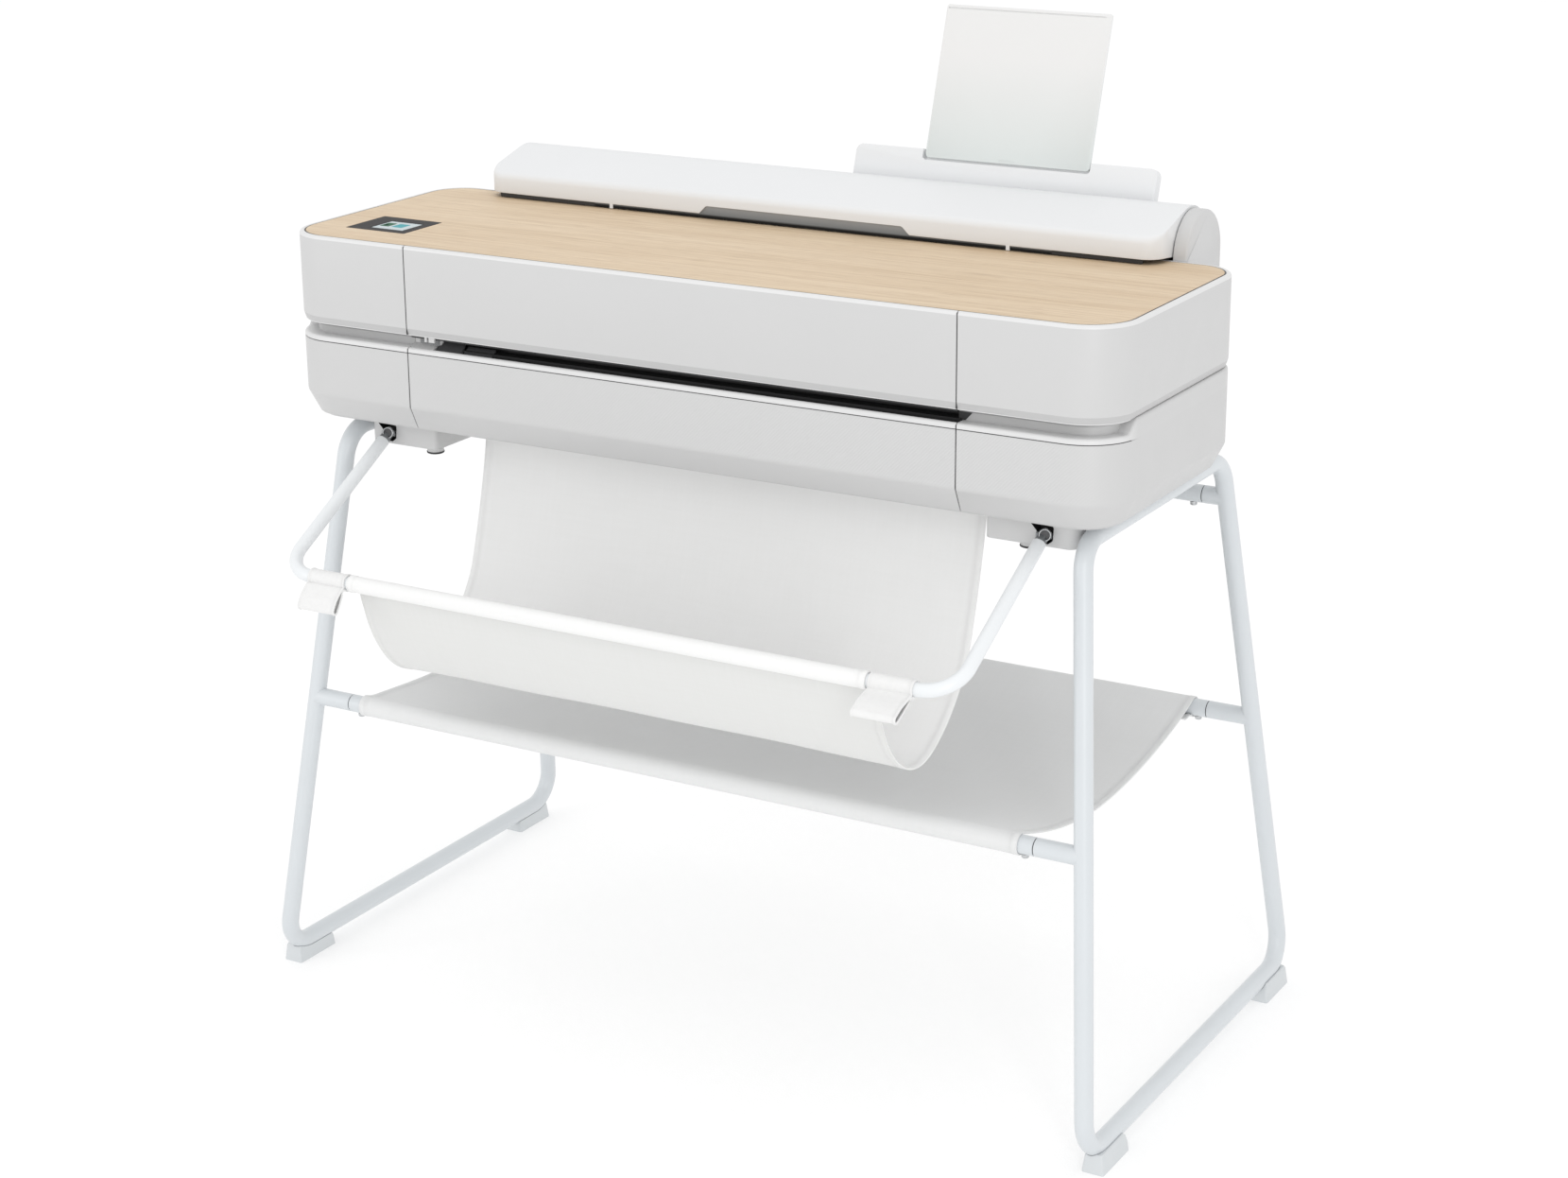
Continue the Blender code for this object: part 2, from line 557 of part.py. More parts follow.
def tray_point(x, up, out):
    """A point on the leaning sheet fence: up along it and out of its front."""
    y = TRAY_HINGE[0] + up * math.sin(TRAY_LEAN) - out * math.cos(TRAY_LEAN)
    z = TRAY_HINGE[1] + up * math.cos(TRAY_LEAN) + out * math.sin(TRAY_LEAN)
    return x, y, z


def leaning_plate(outline, back, front):
    return skin([[tray_point(x, up, out) for x, up in outline] for out in (back, front)])


def make_sheet_tray():
    x0, x1 = TRAY_X
    fence = rounded_rect((x0, -0.0060), (x1, 0.0315), (0.0005, 0.0005, 0.008, 0.008), 4)
    base = place("tray_base", leaning_plate(fence, -0.0080, 0.0040), "bright_plastic", (0, ARCH_Y, ARCH_Z))
    s0, s1 = SUPPORT_X
    pocket = [(s0 - 0.0006, 0.0205), (s1 + 0.0006, 0.0205), (s1 + 0.0006, 0.05), (s0 - 0.0006, 0.05)]
    combine(base, tool("support_pocket", leaning_plate(pocket, 0.0000, 0.0060)))
    plate = rounded_rect((s0, 0.0226), (s1, 0.1860), (0.005, 0.005, 0.003, 0.003), 3)
    hinge = tray_point(0, *SUPPORT_HINGE)
    place("sheet_support", leaning_plate(plate, 0.0010, 0.0036), "bright_plastic", hinge)


# ---------------------------------------------------------------- working parts
def make_chassis():
    channel = [(-0.058, 0.748), (-0.038, 0.748), (-0.038, 0.812), (-0.058, 0.812), (-0.058, 0.810),
               (-0.040, 0.810), (-0.040, 0.750), (-0.058, 0.750)]
    beam = place("chassis_beam", prism(channel, "X", -0.4570, 0.4570), "steel")
    for side, word in ((-1, "left"), (1, "right")):
        x0, x1 = sorted((side * 0.4560, side * 0.4590))
        combine(beam, tool("beam_end_" + word, box((x0, -0.1000, 0.7470), (x1, -0.0370, 0.8130))), "UNION")
        x0, x1 = sorted((side * 0.3250, side * 0.3270))
        plate = place("side_plate_" + word, box((x0, -0.1850, 0.6400), (x1, 0.0650, 0.7258)), "steel")
        hole = turned([(x0 - 0.002, 0.0044), (x1 + 0.002, 0.0044)], "X", (ROLLER_Y, ROLLER_Z), 12)
        combine(plate, tool("roller_hole_" + word, hole))
    place("carriage_rail", turned([(-0.4555, RAIL_R), (0.4555, RAIL_R)], "X", (RAIL_Y, RAIL_Z), 12), "steel")


def make_carriage():
    low, high = CARRIAGE_X - 0.045, CARRIAGE_X + 0.045
    shape = [(-0.1500, 0.7300), (-0.1460, 0.7276), (-0.1020, 0.7276), (-0.0980, 0.7420), (-0.0720, 0.7500),
             (-0.0720, 0.8000), (-0.0760, 0.8050), (-0.1400, 0.8050), (-0.1500, 0.7950)]
    carriage = place("carriage", prism(shape, "X", low, high), "grey_plastic", (CARRIAGE_X, RAIL_Y, RAIL_Z))
    bore = turned([(low - 0.01, RAIL_R + 0.0004), (high + 0.01, RAIL_R + 0.0004)], "X", (RAIL_Y, RAIL_Z), 12)
    combine(carriage, tool("rail_bore", bore))
    outer, inner = PULLEY_R + 0.0018, PULLEY_R + 0.0003
    loops = [arc((PULLEY_X, PULLEY_Z), r, -90, 90, 8) + arc((-PULLEY_X, PULLEY_Z), r, 90, 270, 8)
             for r in (outer, inner)]
    place("drive_belt", hollow_prism(*loops, "Y", *BELT_Y), "rubber")
    for side, name in ((1, "motor_pulley"), (-1, "idler_pulley")):
        centre = (side * PULLEY_X, PULLEY_Z)
        profile = [(BELT_Y[0] - 0.0010, PULLEY_R), (BELT_Y[1] + 0.0005, PULLEY_R),
                   (BELT_Y[1] + 0.0005, 0.0020), (-0.0570, 0.0020)]
        place(name, turned(profile, "Y", centre, 16), "steel", (centre[0], BELT_Y[0], centre[1]))
    motor = turned([(-0.0565, 0.0125), (-0.0410, 0.0125)], "Y", (PULLEY_X, PULLEY_Z), 16)
    place("carriage_motor", motor, "steel")


def make_paper_path():
    place("platen", box((-0.3170, -0.1990, 0.7160), (0.3170, -0.0735, 0.7262)), "black_plastic")
    roller = [(-0.3450, 0.0040), (-0.3120, 0.0040), (-0.3120, ROLLER_R), (0.3120, ROLLER_R), (0.3120, 0.0040),
              (0.3450, 0.0040)]
    place("drive_roller", turned(roller, "X", (ROLLER_Y, ROLLER_Z), 20), "rubber", (0, ROLLER_Y, ROLLER_Z))
    teeth, root, tip = 24, 0.0190, 0.0215
    gear = []
    for i in range(teeth):
        for share, radius in ((0.0, root), (0.30, root), (0.45, tip), (0.80, tip)):
            a = 2 * math.pi * (i + share) / teeth
            gear.append((ROLLER_Y + radius * math.cos(a), ROLLER_Z + radius * math.sin(a)))
    bore = [(ROLLER_Y + 0.0043 * math.cos(2 * math.pi * i / len(gear)),
             ROLLER_Z + 0.0043 * math.sin(2 * math.pi * i / len(gear))) for i in range(len(gear))]
    place("feed_gear", hollow_prism(gear, bore, "X", 0.3300, 0.3380), "grey_plastic", (0, ROLLER_Y, ROLLER_Z))
    pinch_z = ROLLER_Z + ROLLER_R + PINCH_R + 2 * GAP
    profile = [(-0.3180, 0.0025)]
    for k in range(5):
        middle = -0.260 + 0.130 * k
        profile += [(middle - 0.015, 0.0025), (middle - 0.015, PINCH_R), (middle + 0.015, PINCH_R),
                    (middle + 0.015, 0.0025)]
    profile.append((0.3180, 0.0025))
    place("pinch_rollers", turned(profile, "X", (ROLLER_Y, pinch_z), 12), "rubber", (0, ROLLER_Y, pinch_z))
    blade_case = box((CUTTER_X - 0.012, -0.1980, 0.7266), (CUTTER_X + 0.012, -0.1860, 0.7340))
    place("cutter", blade_case, "grey_plastic", (CUTTER_X, -0.1920, 0.7300))


def make_electrics_and_ink():
    station = [(-0.1500, 0.6900), (-0.0800, 0.6900), (-0.0800, 0.7180), (-0.0960, 0.7180), (-0.1000, 0.7262),
               (-0.1450, 0.7262), (-0.1500, 0.7180)]
    place("service_station", prism(station, "X", 0.3420, 0.4200), "grey_plastic")
    for number, (ink, colour) in enumerate(INKS.items()):
        x0 = -0.4520 + 0.0190 * number
        tint = material("ink_" + ink, (colour, 0.4, 0.0))
        case = box((x0, -0.1700, 0.6450), (x0 + 0.0165, -0.0700, 0.7150))
        cartridge = place("ink_cartridge_" + ink, case, tint)
        bevel(cartridge, 0.0015)
    place("main_board", box((-0.2000, 0.0700, 0.6600), (0.0500, 0.0718, 0.7400)), "circuit_board")
    supply = place("power_supply", box((0.1200, -0.0300, 0.6400), (0.2800, 0.0600, 0.6900)), "steel")
    bevel(supply, 0.002)


def main():
    clear_scene()
    assembly = bpy.data.objects.new("assembly", None)
    bpy.context.scene.collection.objects.link(assembly)
    assembly.location = (0, Y_SHIFT, 0)
    make_stand()
    make_docks()
    make_bin()
    make_shelf()
    make_casing()
    make_roll_bay()
    make_roll_cover()
    make_sheet_tray()
    make_chassis()
    make_carriage()
    make_paper_path()
    make_electrics_and_ink()


main()
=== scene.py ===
"""Looks of the large format plotter: fine shells and tubes, real cloth and every material, round its CAD."""

import json
import math

import bmesh
import bpy
from mathutils import Matrix, Vector
from mathutils.geometry import interpolate_bezier


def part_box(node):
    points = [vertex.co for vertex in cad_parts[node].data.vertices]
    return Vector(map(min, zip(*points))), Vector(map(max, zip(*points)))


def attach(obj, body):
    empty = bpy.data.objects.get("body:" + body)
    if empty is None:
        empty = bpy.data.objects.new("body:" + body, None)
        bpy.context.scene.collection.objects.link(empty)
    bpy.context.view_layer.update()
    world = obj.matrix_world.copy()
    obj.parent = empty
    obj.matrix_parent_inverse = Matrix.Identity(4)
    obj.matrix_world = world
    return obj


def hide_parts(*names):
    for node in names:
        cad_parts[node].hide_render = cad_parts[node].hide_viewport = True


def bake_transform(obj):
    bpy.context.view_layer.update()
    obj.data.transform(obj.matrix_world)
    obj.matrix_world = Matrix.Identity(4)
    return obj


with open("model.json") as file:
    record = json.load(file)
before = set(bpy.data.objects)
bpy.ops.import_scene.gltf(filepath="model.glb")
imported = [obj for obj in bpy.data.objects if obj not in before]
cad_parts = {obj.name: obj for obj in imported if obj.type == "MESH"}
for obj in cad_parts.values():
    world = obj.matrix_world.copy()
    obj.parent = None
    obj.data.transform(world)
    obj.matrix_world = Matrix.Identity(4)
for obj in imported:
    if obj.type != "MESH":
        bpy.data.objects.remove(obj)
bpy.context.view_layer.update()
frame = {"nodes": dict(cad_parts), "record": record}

# ---------------------------------------------------------------- the frame, read from the CAD
RECORD = frame["record"]
BODY_OF = {node: body for body, nodes in RECORD["behaviour"]["bodies"].items() for node in nodes}
SLOT_OF = {part["node"]: part["material_slot"] for part in RECORD["subparts"]}
ROOT = BODY_OF["wood_top"]

BODY_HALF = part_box("upper_end_right")[1][0]
BODY_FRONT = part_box("front_window")[0][1]
BODY_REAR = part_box("rear_cover")[1][1]
Y0 = (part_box("foot_front_left")[0][1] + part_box("foot_rear_left")[1][1]) / 2   # middle of the stand's feet
Z_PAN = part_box("base_front")[0][2]
Z_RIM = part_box("front_window")[1][2]
GAP = 0.0005
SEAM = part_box("front_window")[1][0] + 0.0003
SEAM_EASE = 0.0005

# ---------------------------------------------------------------- dimensions of what is made finer here
CORNER_FRONT, CORNER_REAR = 0.053, 0.043
WALL = 0.003
RIM = 0.0055
Z_KINK = 0.6601
Z_TRIM = 0.7192
TRIM_HALF, TRIM_DEEP = 0.0005, 0.0012
Z_LIP = 0.7249
Z_UPPER = 0.7377
RIB_PITCH, WEAVE_PITCH = 0.0026, 0.0011

LEG_TUBE, BIN_TUBE = 0.0095, 0.0070
LEG_LEAN_Y, LEG_LEAN_X = 0.1525, 0.0969
LEG_FOOT_Y, LEG_RAIL_X = 0.2646, 0.4914
Z_RAIL, Z_TOP_BAR = 0.0213, 0.613
Z_SHELF, SHELF_JOINT = 0.3163, 0.4130
Z_CROSS, CROSS_JOINT = 0.569, 0.4140

PIVOT_X, PIVOT_Y, PIVOT_Z = 0.3884, Y0 - 0.1608, 0.6122
BAR_Y, BAR_Z = Y0 - 0.3481, 0.5090
BIN_HALF, SHELF_HALF = 0.2969, 0.397

ARCH_Y, ARCH_Z = Y0 + 0.1375, 0.8316
ARCH_CAP, ARCH_COVER, LOW_CAP = 0.045, 0.0475, 0.8120
COVER_HALF = 0.404
LID_SLOPE = math.radians(15.5)
LIP_Y, LIP_BOTTOM = Y0 + 0.0577, 0.8366
SKIRT_BOTTOM = 0.8090

TRAY_HINGE = (Y0 + 0.1735, 0.8735)
TRAY_LEAN = math.radians(17.9)
TRAY_X = (-0.0005, 0.3500)
SUPPORT_X = (0.0830, 0.2740)

DISPLAY_LOW, DISPLAY_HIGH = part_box("display")
SPINDLE_Y, SPINDLE_Z = Y0 + 0.142, 0.752
BLACK = (0.0, 0.0, 0.0)


# ---------------------------------------------------------------- materials
def grey(value):
    return (value, value, value)


class Nodes:
    """A short way to write a material's node tree."""

    def __init__(self, name):
        self.material = bpy.data.materials.new(name)
        self.material.use_nodes = True
        self.tree = self.material.node_tree
        self.shader = self.tree.nodes["Principled BSDF"]

    def add(self, kind, settings=(), **inputs):
        node = self.tree.nodes.new("ShaderNode" + kind)
        for key, value in dict(settings).items():
            setattr(node, key, value)
        for key, value in inputs.items():
            self.plug(node, key.replace("_", " "), value)
        return node

    def plug(self, node, key, value):
        socket = node.inputs[key]
        if isinstance(value, bpy.types.NodeSocket):
            self.tree.links.new(value, socket)
        else:
            socket.default_value = value

    def place(self, scale=(1, 1, 1), turn=(0, 0, 0), source="Object"):
        coordinates = self.add("TexCoord").outputs[source]
        return self.add("Mapping", Vector=coordinates, Scale=scale, Rotation=turn).outputs["Vector"]

    def noise(self, vector, scale, detail=2.0, roughness=0.5):
        node = self.add("TexNoise", Vector=vector, Scale=scale, Detail=detail, Roughness=roughness)
        return node.outputs["Fac"]

    def axis(self, vector, name):
        return self.add("SeparateXYZ", Vector=vector).outputs[name]

    def cloud(self, at, scale, detail, low, high):
        """A value that wanders softly between two others."""
        return self.span(self.noise(at, scale, detail), 0.3, 0.7, low, high)

    def plastic_gloss(self, at, roughness):
        return self.cloud(at, 38.0, 4.0, roughness - 0.04, roughness + 0.04)

    def pits(self, at, normal=None):
        """The fine spark-eroded grain of moulded plastic."""
        return self.bump(self.noise(at, 2600.0), 0.00003, normal=normal)

    def dimmed(self, factor, colour):
        return self.mix(factor, BLACK, colour)

    def span(self, value, low, high, to_low, to_high):
        node = self.add("MapRange", Value=value)
        for key, number in (("From Min", low), ("From Max", high), ("To Min", to_low), ("To Max", to_high)):
            node.inputs[key].default_value = number
        return node.outputs["Result"]

    def math(self, operation, a, b=0.0):
        node = self.add("Math", {"operation": operation})
        self.plug(node, 0, a)
        self.plug(node, 1, b)
        return node.outputs["Value"]

    def mix(self, factor, a, b):
        node = self.add("Mix", {"data_type": "RGBA"})
        for index, value in ((0, factor), (6, a), (7, b)):
            self.plug(node, index, value if not isinstance(value, tuple) else (*value, 1.0))
        return node.outputs[2]

    def bump(self, height, distance, strength=1.0, normal=None):
        node = self.add("Bump", Height=height, Distance=distance, Strength=strength)
        if normal is not None:
            self.plug(node, "Normal", normal)
        return node.outputs["Normal"]

    def finish(self, colour, roughness, normal, **more):
        self.plug(self.shader, "Base Color", (*colour, 1.0) if isinstance(colour, tuple) else colour)
        self.plug(self.shader, "Roughness", roughness)
        self.plug(self.shader, "Normal", normal)
        for key, value in more.items():
            self.plug(self.shader, key.replace("_", " "), value)
        return self.material


def moulded(name, colour, roughness, spread=0.012):
    """Moulded plastic: a fine spark-eroded grain, and a little unevenness in tone and gloss."""
    n = Nodes(name)
    at = n.place()
    tone = n.cloud(at, 9.0, 3.0, 1.0 - spread, 1.0)
    return n.finish(n.dimmed(tone, colour), n.plastic_gloss(at, roughness), n.pits(at))


def graded_plastic(name, axis, colour, grades, roughness, **more):
    """Moulded plastic whose colour turns into others along an axis; a grade is (start, end, colour)."""
    n = Nodes(name)
    at = n.place()
    place = n.axis(at, axis)
    for start, end, other in grades:
        colour = n.mix(n.span(place, start, end, 0.0, 1.0), colour, other)
    return n.finish(colour, n.plastic_gloss(at, roughness), n.pits(at), **more)


def ribbed_plastic(name, colour, roughness):
    """The lower front: the same plastic with fine slanted ribs, which fade out towards the corners."""
    n = Nodes(name)
    at = n.place()
    slanted = n.place(turn=(0, math.radians(-45), 0))
    wave = n.add("TexWave", {"wave_type": "BANDS", "bands_direction": "X", "wave_profile": "SIN"},
                 Vector=slanted, Scale=math.tau / (20 * RIB_PITCH)).outputs["Fac"]
    across, height = n.axis(at, "X"), n.axis(at, "Z")
    for mask in (n.span(n.math("ABSOLUTE", across), BODY_HALF - 0.060, BODY_HALF - 0.005, 1.0, 0.0),
                 n.span(across, -0.36, 0.20, 0.15, 1.0),
                 n.span(height, Z_KINK, Z_KINK + 0.004, 0.0, 1.0),
                 n.span(height, Z_TRIM - 0.004, Z_TRIM, 1.0, 0.0)):
        wave = n.math("MULTIPLY", wave, mask)
    # painted highlight: the rib crests are a little lighter
    shade = n.mix(n.math("MULTIPLY", wave, 0.08), colour, grey(0.86))
    return n.finish(shade, n.plastic_gloss(at, roughness), n.pits(at, n.bump(wave, 0.00014)))


def powder_coat(name, colour):
    """Baked powder paint: a soft orange peel and a satin gloss."""
    n = Nodes(name)
    at = n.place()
    peel = n.bump(n.noise(at, 620.0, 3.0), 0.00007, 0.7)
    shade = n.dimmed(n.cloud(at, 14.0, 2.0, 0.985, 1.0), colour)
    return n.finish(shade, n.cloud(at, 60.0, 3.0, 0.30, 0.38), peel, Coat_Weight=0.15, Coat_Roughness=0.25)


def oak(name):
    """Straight-grained light oak veneer under a matt lacquer: fibres, bands, short pores and a small knot."""
    n = Nodes(name)
    at = n.place()
    reach = at
    for operation, values in (("SUBTRACT", (0.268, Y0 - 0.055, Z_RIM)), ("MULTIPLY", (22.0, 95.0, 0.0))):
        node = n.add("VectorMath", {"operation": operation}, Vector=reach)
        node.inputs[1].default_value = values
        reach = node.outputs["Vector"]
    knot = n.add("VectorMath", {"operation": "LENGTH"}, Vector=reach).outputs["Value"]
    swirl = n.span(knot, 0.0, 1.6, 1.0, 0.0)
    warp = n.noise(n.place((1.6, 9.0, 9.0)), 1.0, 3.0)
    bent = n.math("ADD", n.math("MULTIPLY", n.axis(at, "Y"), 95.0), n.math("MULTIPLY", warp, 5.5))
    bent = n.math("ADD", bent, n.math("MULTIPLY", swirl, 1.8))
    bands = n.span(n.math("SINE", bent), -1.0, 1.0, 0.0, 1.0)
    broad, fibre, streak, pores = (n.noise(n.place((along_grain, across, across)), 1.0, detail, roughness)
                                   for along_grain, across, detail, roughness in
                                   ((0.9, 16.0, 4.0, 0.55), (9.0, 520.0, 4.0, 0.6), (5.5, 210.0, 5.0, 0.62),
                                    (30.0, 760.0, 2.0, 0.5)))
    pore = n.span(pores, 0.58, 0.68, 0.0, 1.0)
    base = n.mix(n.span(broad, 0.32, 0.68, 0.0, 1.0), (0.588, 0.445, 0.290), (0.676, 0.541, 0.380))
    for factor, tint in ((n.math("MULTIPLY", bands, 0.16), (0.560, 0.400, 0.240)),
                         (n.span(streak, 0.44, 0.64, 0.0, 0.62), (0.500, 0.345, 0.200)),
                         (n.span(fibre, 0.35, 0.65, 0.0, 0.50), (0.800, 0.665, 0.495)),
                         (n.math("MULTIPLY", pore, 0.45), (0.400, 0.270, 0.160)),
                         (n.math("MULTIPLY", n.span(swirl, 0.55, 1.0, 0.0, 1.0), 0.35), (0.42, 0.28, 0.17))):
        base = n.mix(factor, base, tint)
    height = n.math("SUBTRACT", n.math("MULTIPLY", fibre, 0.4), n.math("MULTIPLY", pore, 0.6))
    return n.finish(base, n.span(fibre, 0.3, 0.7, 0.46, 0.58), n.bump(height, 0.00006, 0.7))


def canvas(name, colour, warm):
    """Plain-woven canvas on a UV map in metres, with slubs and a soft sheen."""
    n = Nodes(name)
    uv = n.place(source="UV")
    turns = math.pi / WEAVE_PITCH
    warp, weft = (n.math("SINE", n.math("MULTIPLY", n.axis(uv, axis), turns)) for axis in "XY")
    cross = n.math("MULTIPLY", warp, weft)
    ridge = n.math("MAXIMUM", n.math("MULTIPLY", n.math("ABSOLUTE", warp), n.span(cross, -1, 1, 0.35, 1.0)),
                   n.math("MULTIPLY", n.math("ABSOLUTE", weft), n.span(cross, -1, 1, 1.0, 0.35)))
    slubs = [n.math("MULTIPLY", n.noise(n.place(scale, source="UV"), 1.0, 3.0), 0.5)
             for scale in ((260.0, 12.0, 1.0), (12.0, 260.0, 1.0))]
    tone = n.mix(n.span(n.math("ADD", *slubs), 0.35, 0.65, 0.0, 0.30), colour, warm)
    # painted shade: darker between the threads
    tone = n.mix(n.span(ridge, 0.0, 0.5, 0.16, 0.0), tone, (0.50, 0.50, 0.47))
    creases = n.bump(n.noise(n.place(), 7.0, 3.0), 0.0012, 0.25)
    return n.finish(tone, 0.92, n.bump(ridge, 0.00016, 0.75, creases), Sheen_Weight=0.25, Sheen_Roughness=0.5)


def webbing(name, colour):
    """Smooth tape for the bin's strap loops: fine ribs across, and a soft sheen."""
    n = Nodes(name)
    length = n.axis(n.place(source="UV"), "Y")
    ribs = n.math("ABSOLUTE", n.math("SINE", n.math("MULTIPLY", length, math.pi / 0.0009)))
    shade = n.dimmed(n.cloud(n.place(), 220.0, 3.0, 0.97, 1.0), colour)
    return n.finish(shade, 0.85, n.bump(ribs, 0.0001, 0.6), Sheen_Weight=0.2)


def brushed_steel(name, colour, roughness):
    """Steel with fine lines along X."""
    n = Nodes(name)
    lines = n.noise(n.place((8.0, 900.0, 900.0)), 1.0, 3.0)
    gloss = n.span(lines, 0.3, 0.7, roughness - 0.08, roughness + 0.10)
    return n.finish(colour, gloss, n.bump(lines, 0.00002, 0.5), Metallic=1.0)


def rubber(name, colour):
    """Matt rubber with a little dust on it."""
    n = Nodes(name)
    at = n.place()
    dust = n.span(n.noise(at, 45.0, 4.0), 0.45, 0.75, 0.0, 0.25)
    return n.finish(n.mix(dust, colour, grey(0.10)), 0.78, n.bump(n.noise(at, 1500.0), 0.00005))


def glass_panel(name, colour):
    """Dark satin cover glass, with the faintest smear in its gloss."""
    n = Nodes(name)
    smear = n.cloud(n.place((60.0, 25.0, 25.0)), 1.0, 4.0, 0.10, 0.20)
    return n.finish(colour, smear, n.bump(smear, 0.00001), IOR=1.05)


def lit(name, colour, strength):
    """A lit stretch of the screen, with its pixel rows."""
    n = Nodes(name)
    rows = n.math("SINE", n.math("MULTIPLY", n.axis(n.place(), "Y"), math.tau / 0.0004))
    shade = n.mix(n.span(rows, -1.0, 1.0, 0.0, 0.10), colour, BLACK)
    return n.finish(shade, 0.35, n.bump(rows, 0.000005), IOR=1.10,
                    Emission_Color=shade, Emission_Strength=strength)


def circuit(name):
    """Green solder mask with a pattern of tracks."""
    n = Nodes(name)
    cells = n.add("TexVoronoi", {"distance": "CHEBYCHEV"}, Vector=n.place(), Scale=240.0).outputs["Distance"]
    tracks = n.span(cells, 0.30, 0.34, 0.0, 1.0)
    return n.finish(n.mix(tracks, (0.012, 0.11, 0.055), (0.03, 0.22, 0.11)), 0.4, n.bump(tracks, 0.00003))


def ink_case(name, colour):
    """Glossy tinted plastic with a frosted label band."""
    n = Nodes(name)
    at = n.place()
    height = n.axis(at, "Z")
    label = n.math("MULTIPLY", n.math("GREATER_THAN", height, 0.665), n.math("LESS_THAN", height, 0.700))
    return n.finish(n.mix(n.math("MULTIPLY", label, 0.85), colour, grey(0.80)),
                    n.cloud(at, 90.0, 3.0, 0.22, 0.34), n.bump(n.noise(at, 900.0), 0.00002))


def make_looks():
    def past_corner(start, end, colour):
        """A grade round the casing's front corners, from and to a share of the corner's depth."""
        return (BODY_FRONT + start * CORNER_FRONT, BODY_FRONT + end * CORNER_FRONT, colour)

    looks = {
        "white_plastic": moulded("white_plastic_look", grey(0.565), 0.42),
        "base_plastic": ribbed_plastic("base_plastic_look", grey(0.548), 0.42),
        # painted highlight: a brighter copy of the white plastic for the rim's crest and the upper shells'
        # lower edge
        "rim_highlight_plastic": moulded("rim_plastic_look", grey(0.690), 0.35),
        # painted highlight: the lower casing's lip crest is brighter, fading to the plain base colour past
        # the front corners
        "lip_highlight_plastic": graded_plastic("lip_plastic_look", "Y", grey(0.655),
                                      [past_corner(0.55, 1.0, grey(0.548))], 0.36),
        # painted shade: a darker copy of the white plastic for the band under the brow
        "brow_shade_plastic": moulded("brow_plastic_look", grey(0.485), 0.42),
        # painted shade: dark walls inside the groove between the casings, fading lighter past the front
        # corners
        "groove_shade_plastic": graded_plastic("groove_plastic_look", "Y", grey(0.270),
                                         [past_corner(0.06, 0.42, grey(0.560))], 0.42),
        "shoe_plastic": moulded("foot_plastic_look", (0.610, 0.635, 0.650), 0.45),
        "bright_plastic": moulded("bright_plastic_look", (0.735, 0.743, 0.752), 0.42, 0.006),
        "support_plastic": graded_plastic("support_plastic_look", "Z", (0.635, 0.672, 0.664),
                                          [(0.90, 1.00, (0.725, 0.728, 0.728))], 0.45),
        # painted shade: near black at the bottom, turning grey higher up, for the shade under the roll
        # cover's lip
        "under_lip_shade_plastic": graded_plastic("bay_plastic_look", "Z", grey(0.012),
                                      [(Z_RIM + 0.0030, Z_RIM + 0.0052, (0.200, 0.210, 0.218)),
                                       (Z_RIM + 0.0060, Z_RIM + 0.0150, (0.330, 0.338, 0.345))],
                                      0.50, Specular_IOR_Level=0.1),
        "powder_coat": powder_coat("powder_coat_look", (0.622, 0.652, 0.674)),
        # painted highlight: a brighter copy of the powder coat for the bin's arm, standing in for the light
        # on it
        "arm_coat_lit": powder_coat("arm_coat_look", (0.765, 0.785, 0.800)),
        "oak": oak("oak_look"),
        "fabric": canvas("canvas_look", (0.830, 0.830, 0.826), (0.79, 0.79, 0.78)),
        # painted shade: a darker copy of the canvas for the shelf, which lies in the shade under the bin
        "shaded_shelf_canvas": canvas("shelf_canvas_look", (0.720, 0.725, 0.725), (0.68, 0.685, 0.68)),
        # painted shade: a darker copy of the canvas for the bin's outer side
        "fabric_shaded_side": canvas("canvas_shaded_side_look", (0.695, 0.698, 0.688), (0.66, 0.66, 0.64)),
        "strap": webbing("strap_look", (0.775, 0.774, 0.770)),
        "black_plastic": moulded("black_plastic_look", (0.018, 0.018, 0.019), 0.5, 0.2),
        "grey_plastic": moulded("grey_plastic_look", (0.26, 0.265, 0.27), 0.5, 0.08),
        "dark_grey": moulded("dark_grey_look", (0.075, 0.075, 0.078), 0.5, 0.10),
        "steel": brushed_steel("steel_look", (0.56, 0.57, 0.58), 0.32),
        "dark_steel": brushed_steel("dark_steel_look", (0.30, 0.31, 0.32), 0.42),
        "rubber": rubber("rubber_look", (0.022, 0.022, 0.023)),
        "screen_glass": glass_panel("screen_glass_look", (0.014, 0.012, 0.013)),
        "screen_white": lit("screen_white_look", (0.56, 0.62, 0.64), 0.04),
        "screen_green": lit("screen_green_look", (0.020, 0.110, 0.055), 0.10),
        "screen_teal": lit("screen_teal_look", (0.06, 0.33, 0.37), 0.10),
        "circuit_board": circuit("circuit_board_look"),
    }
    for ink, colour in (("cyan", (0.0, 0.32, 0.55)), ("magenta", (0.55, 0.03, 0.22)),
                        ("yellow", (0.80, 0.62, 0.02)), ("black", (0.02, 0.02, 0.022))):
        looks["ink_" + ink] = ink_case("ink_%s_look" % ink, colour)
    return looks


LOOKS = make_looks()


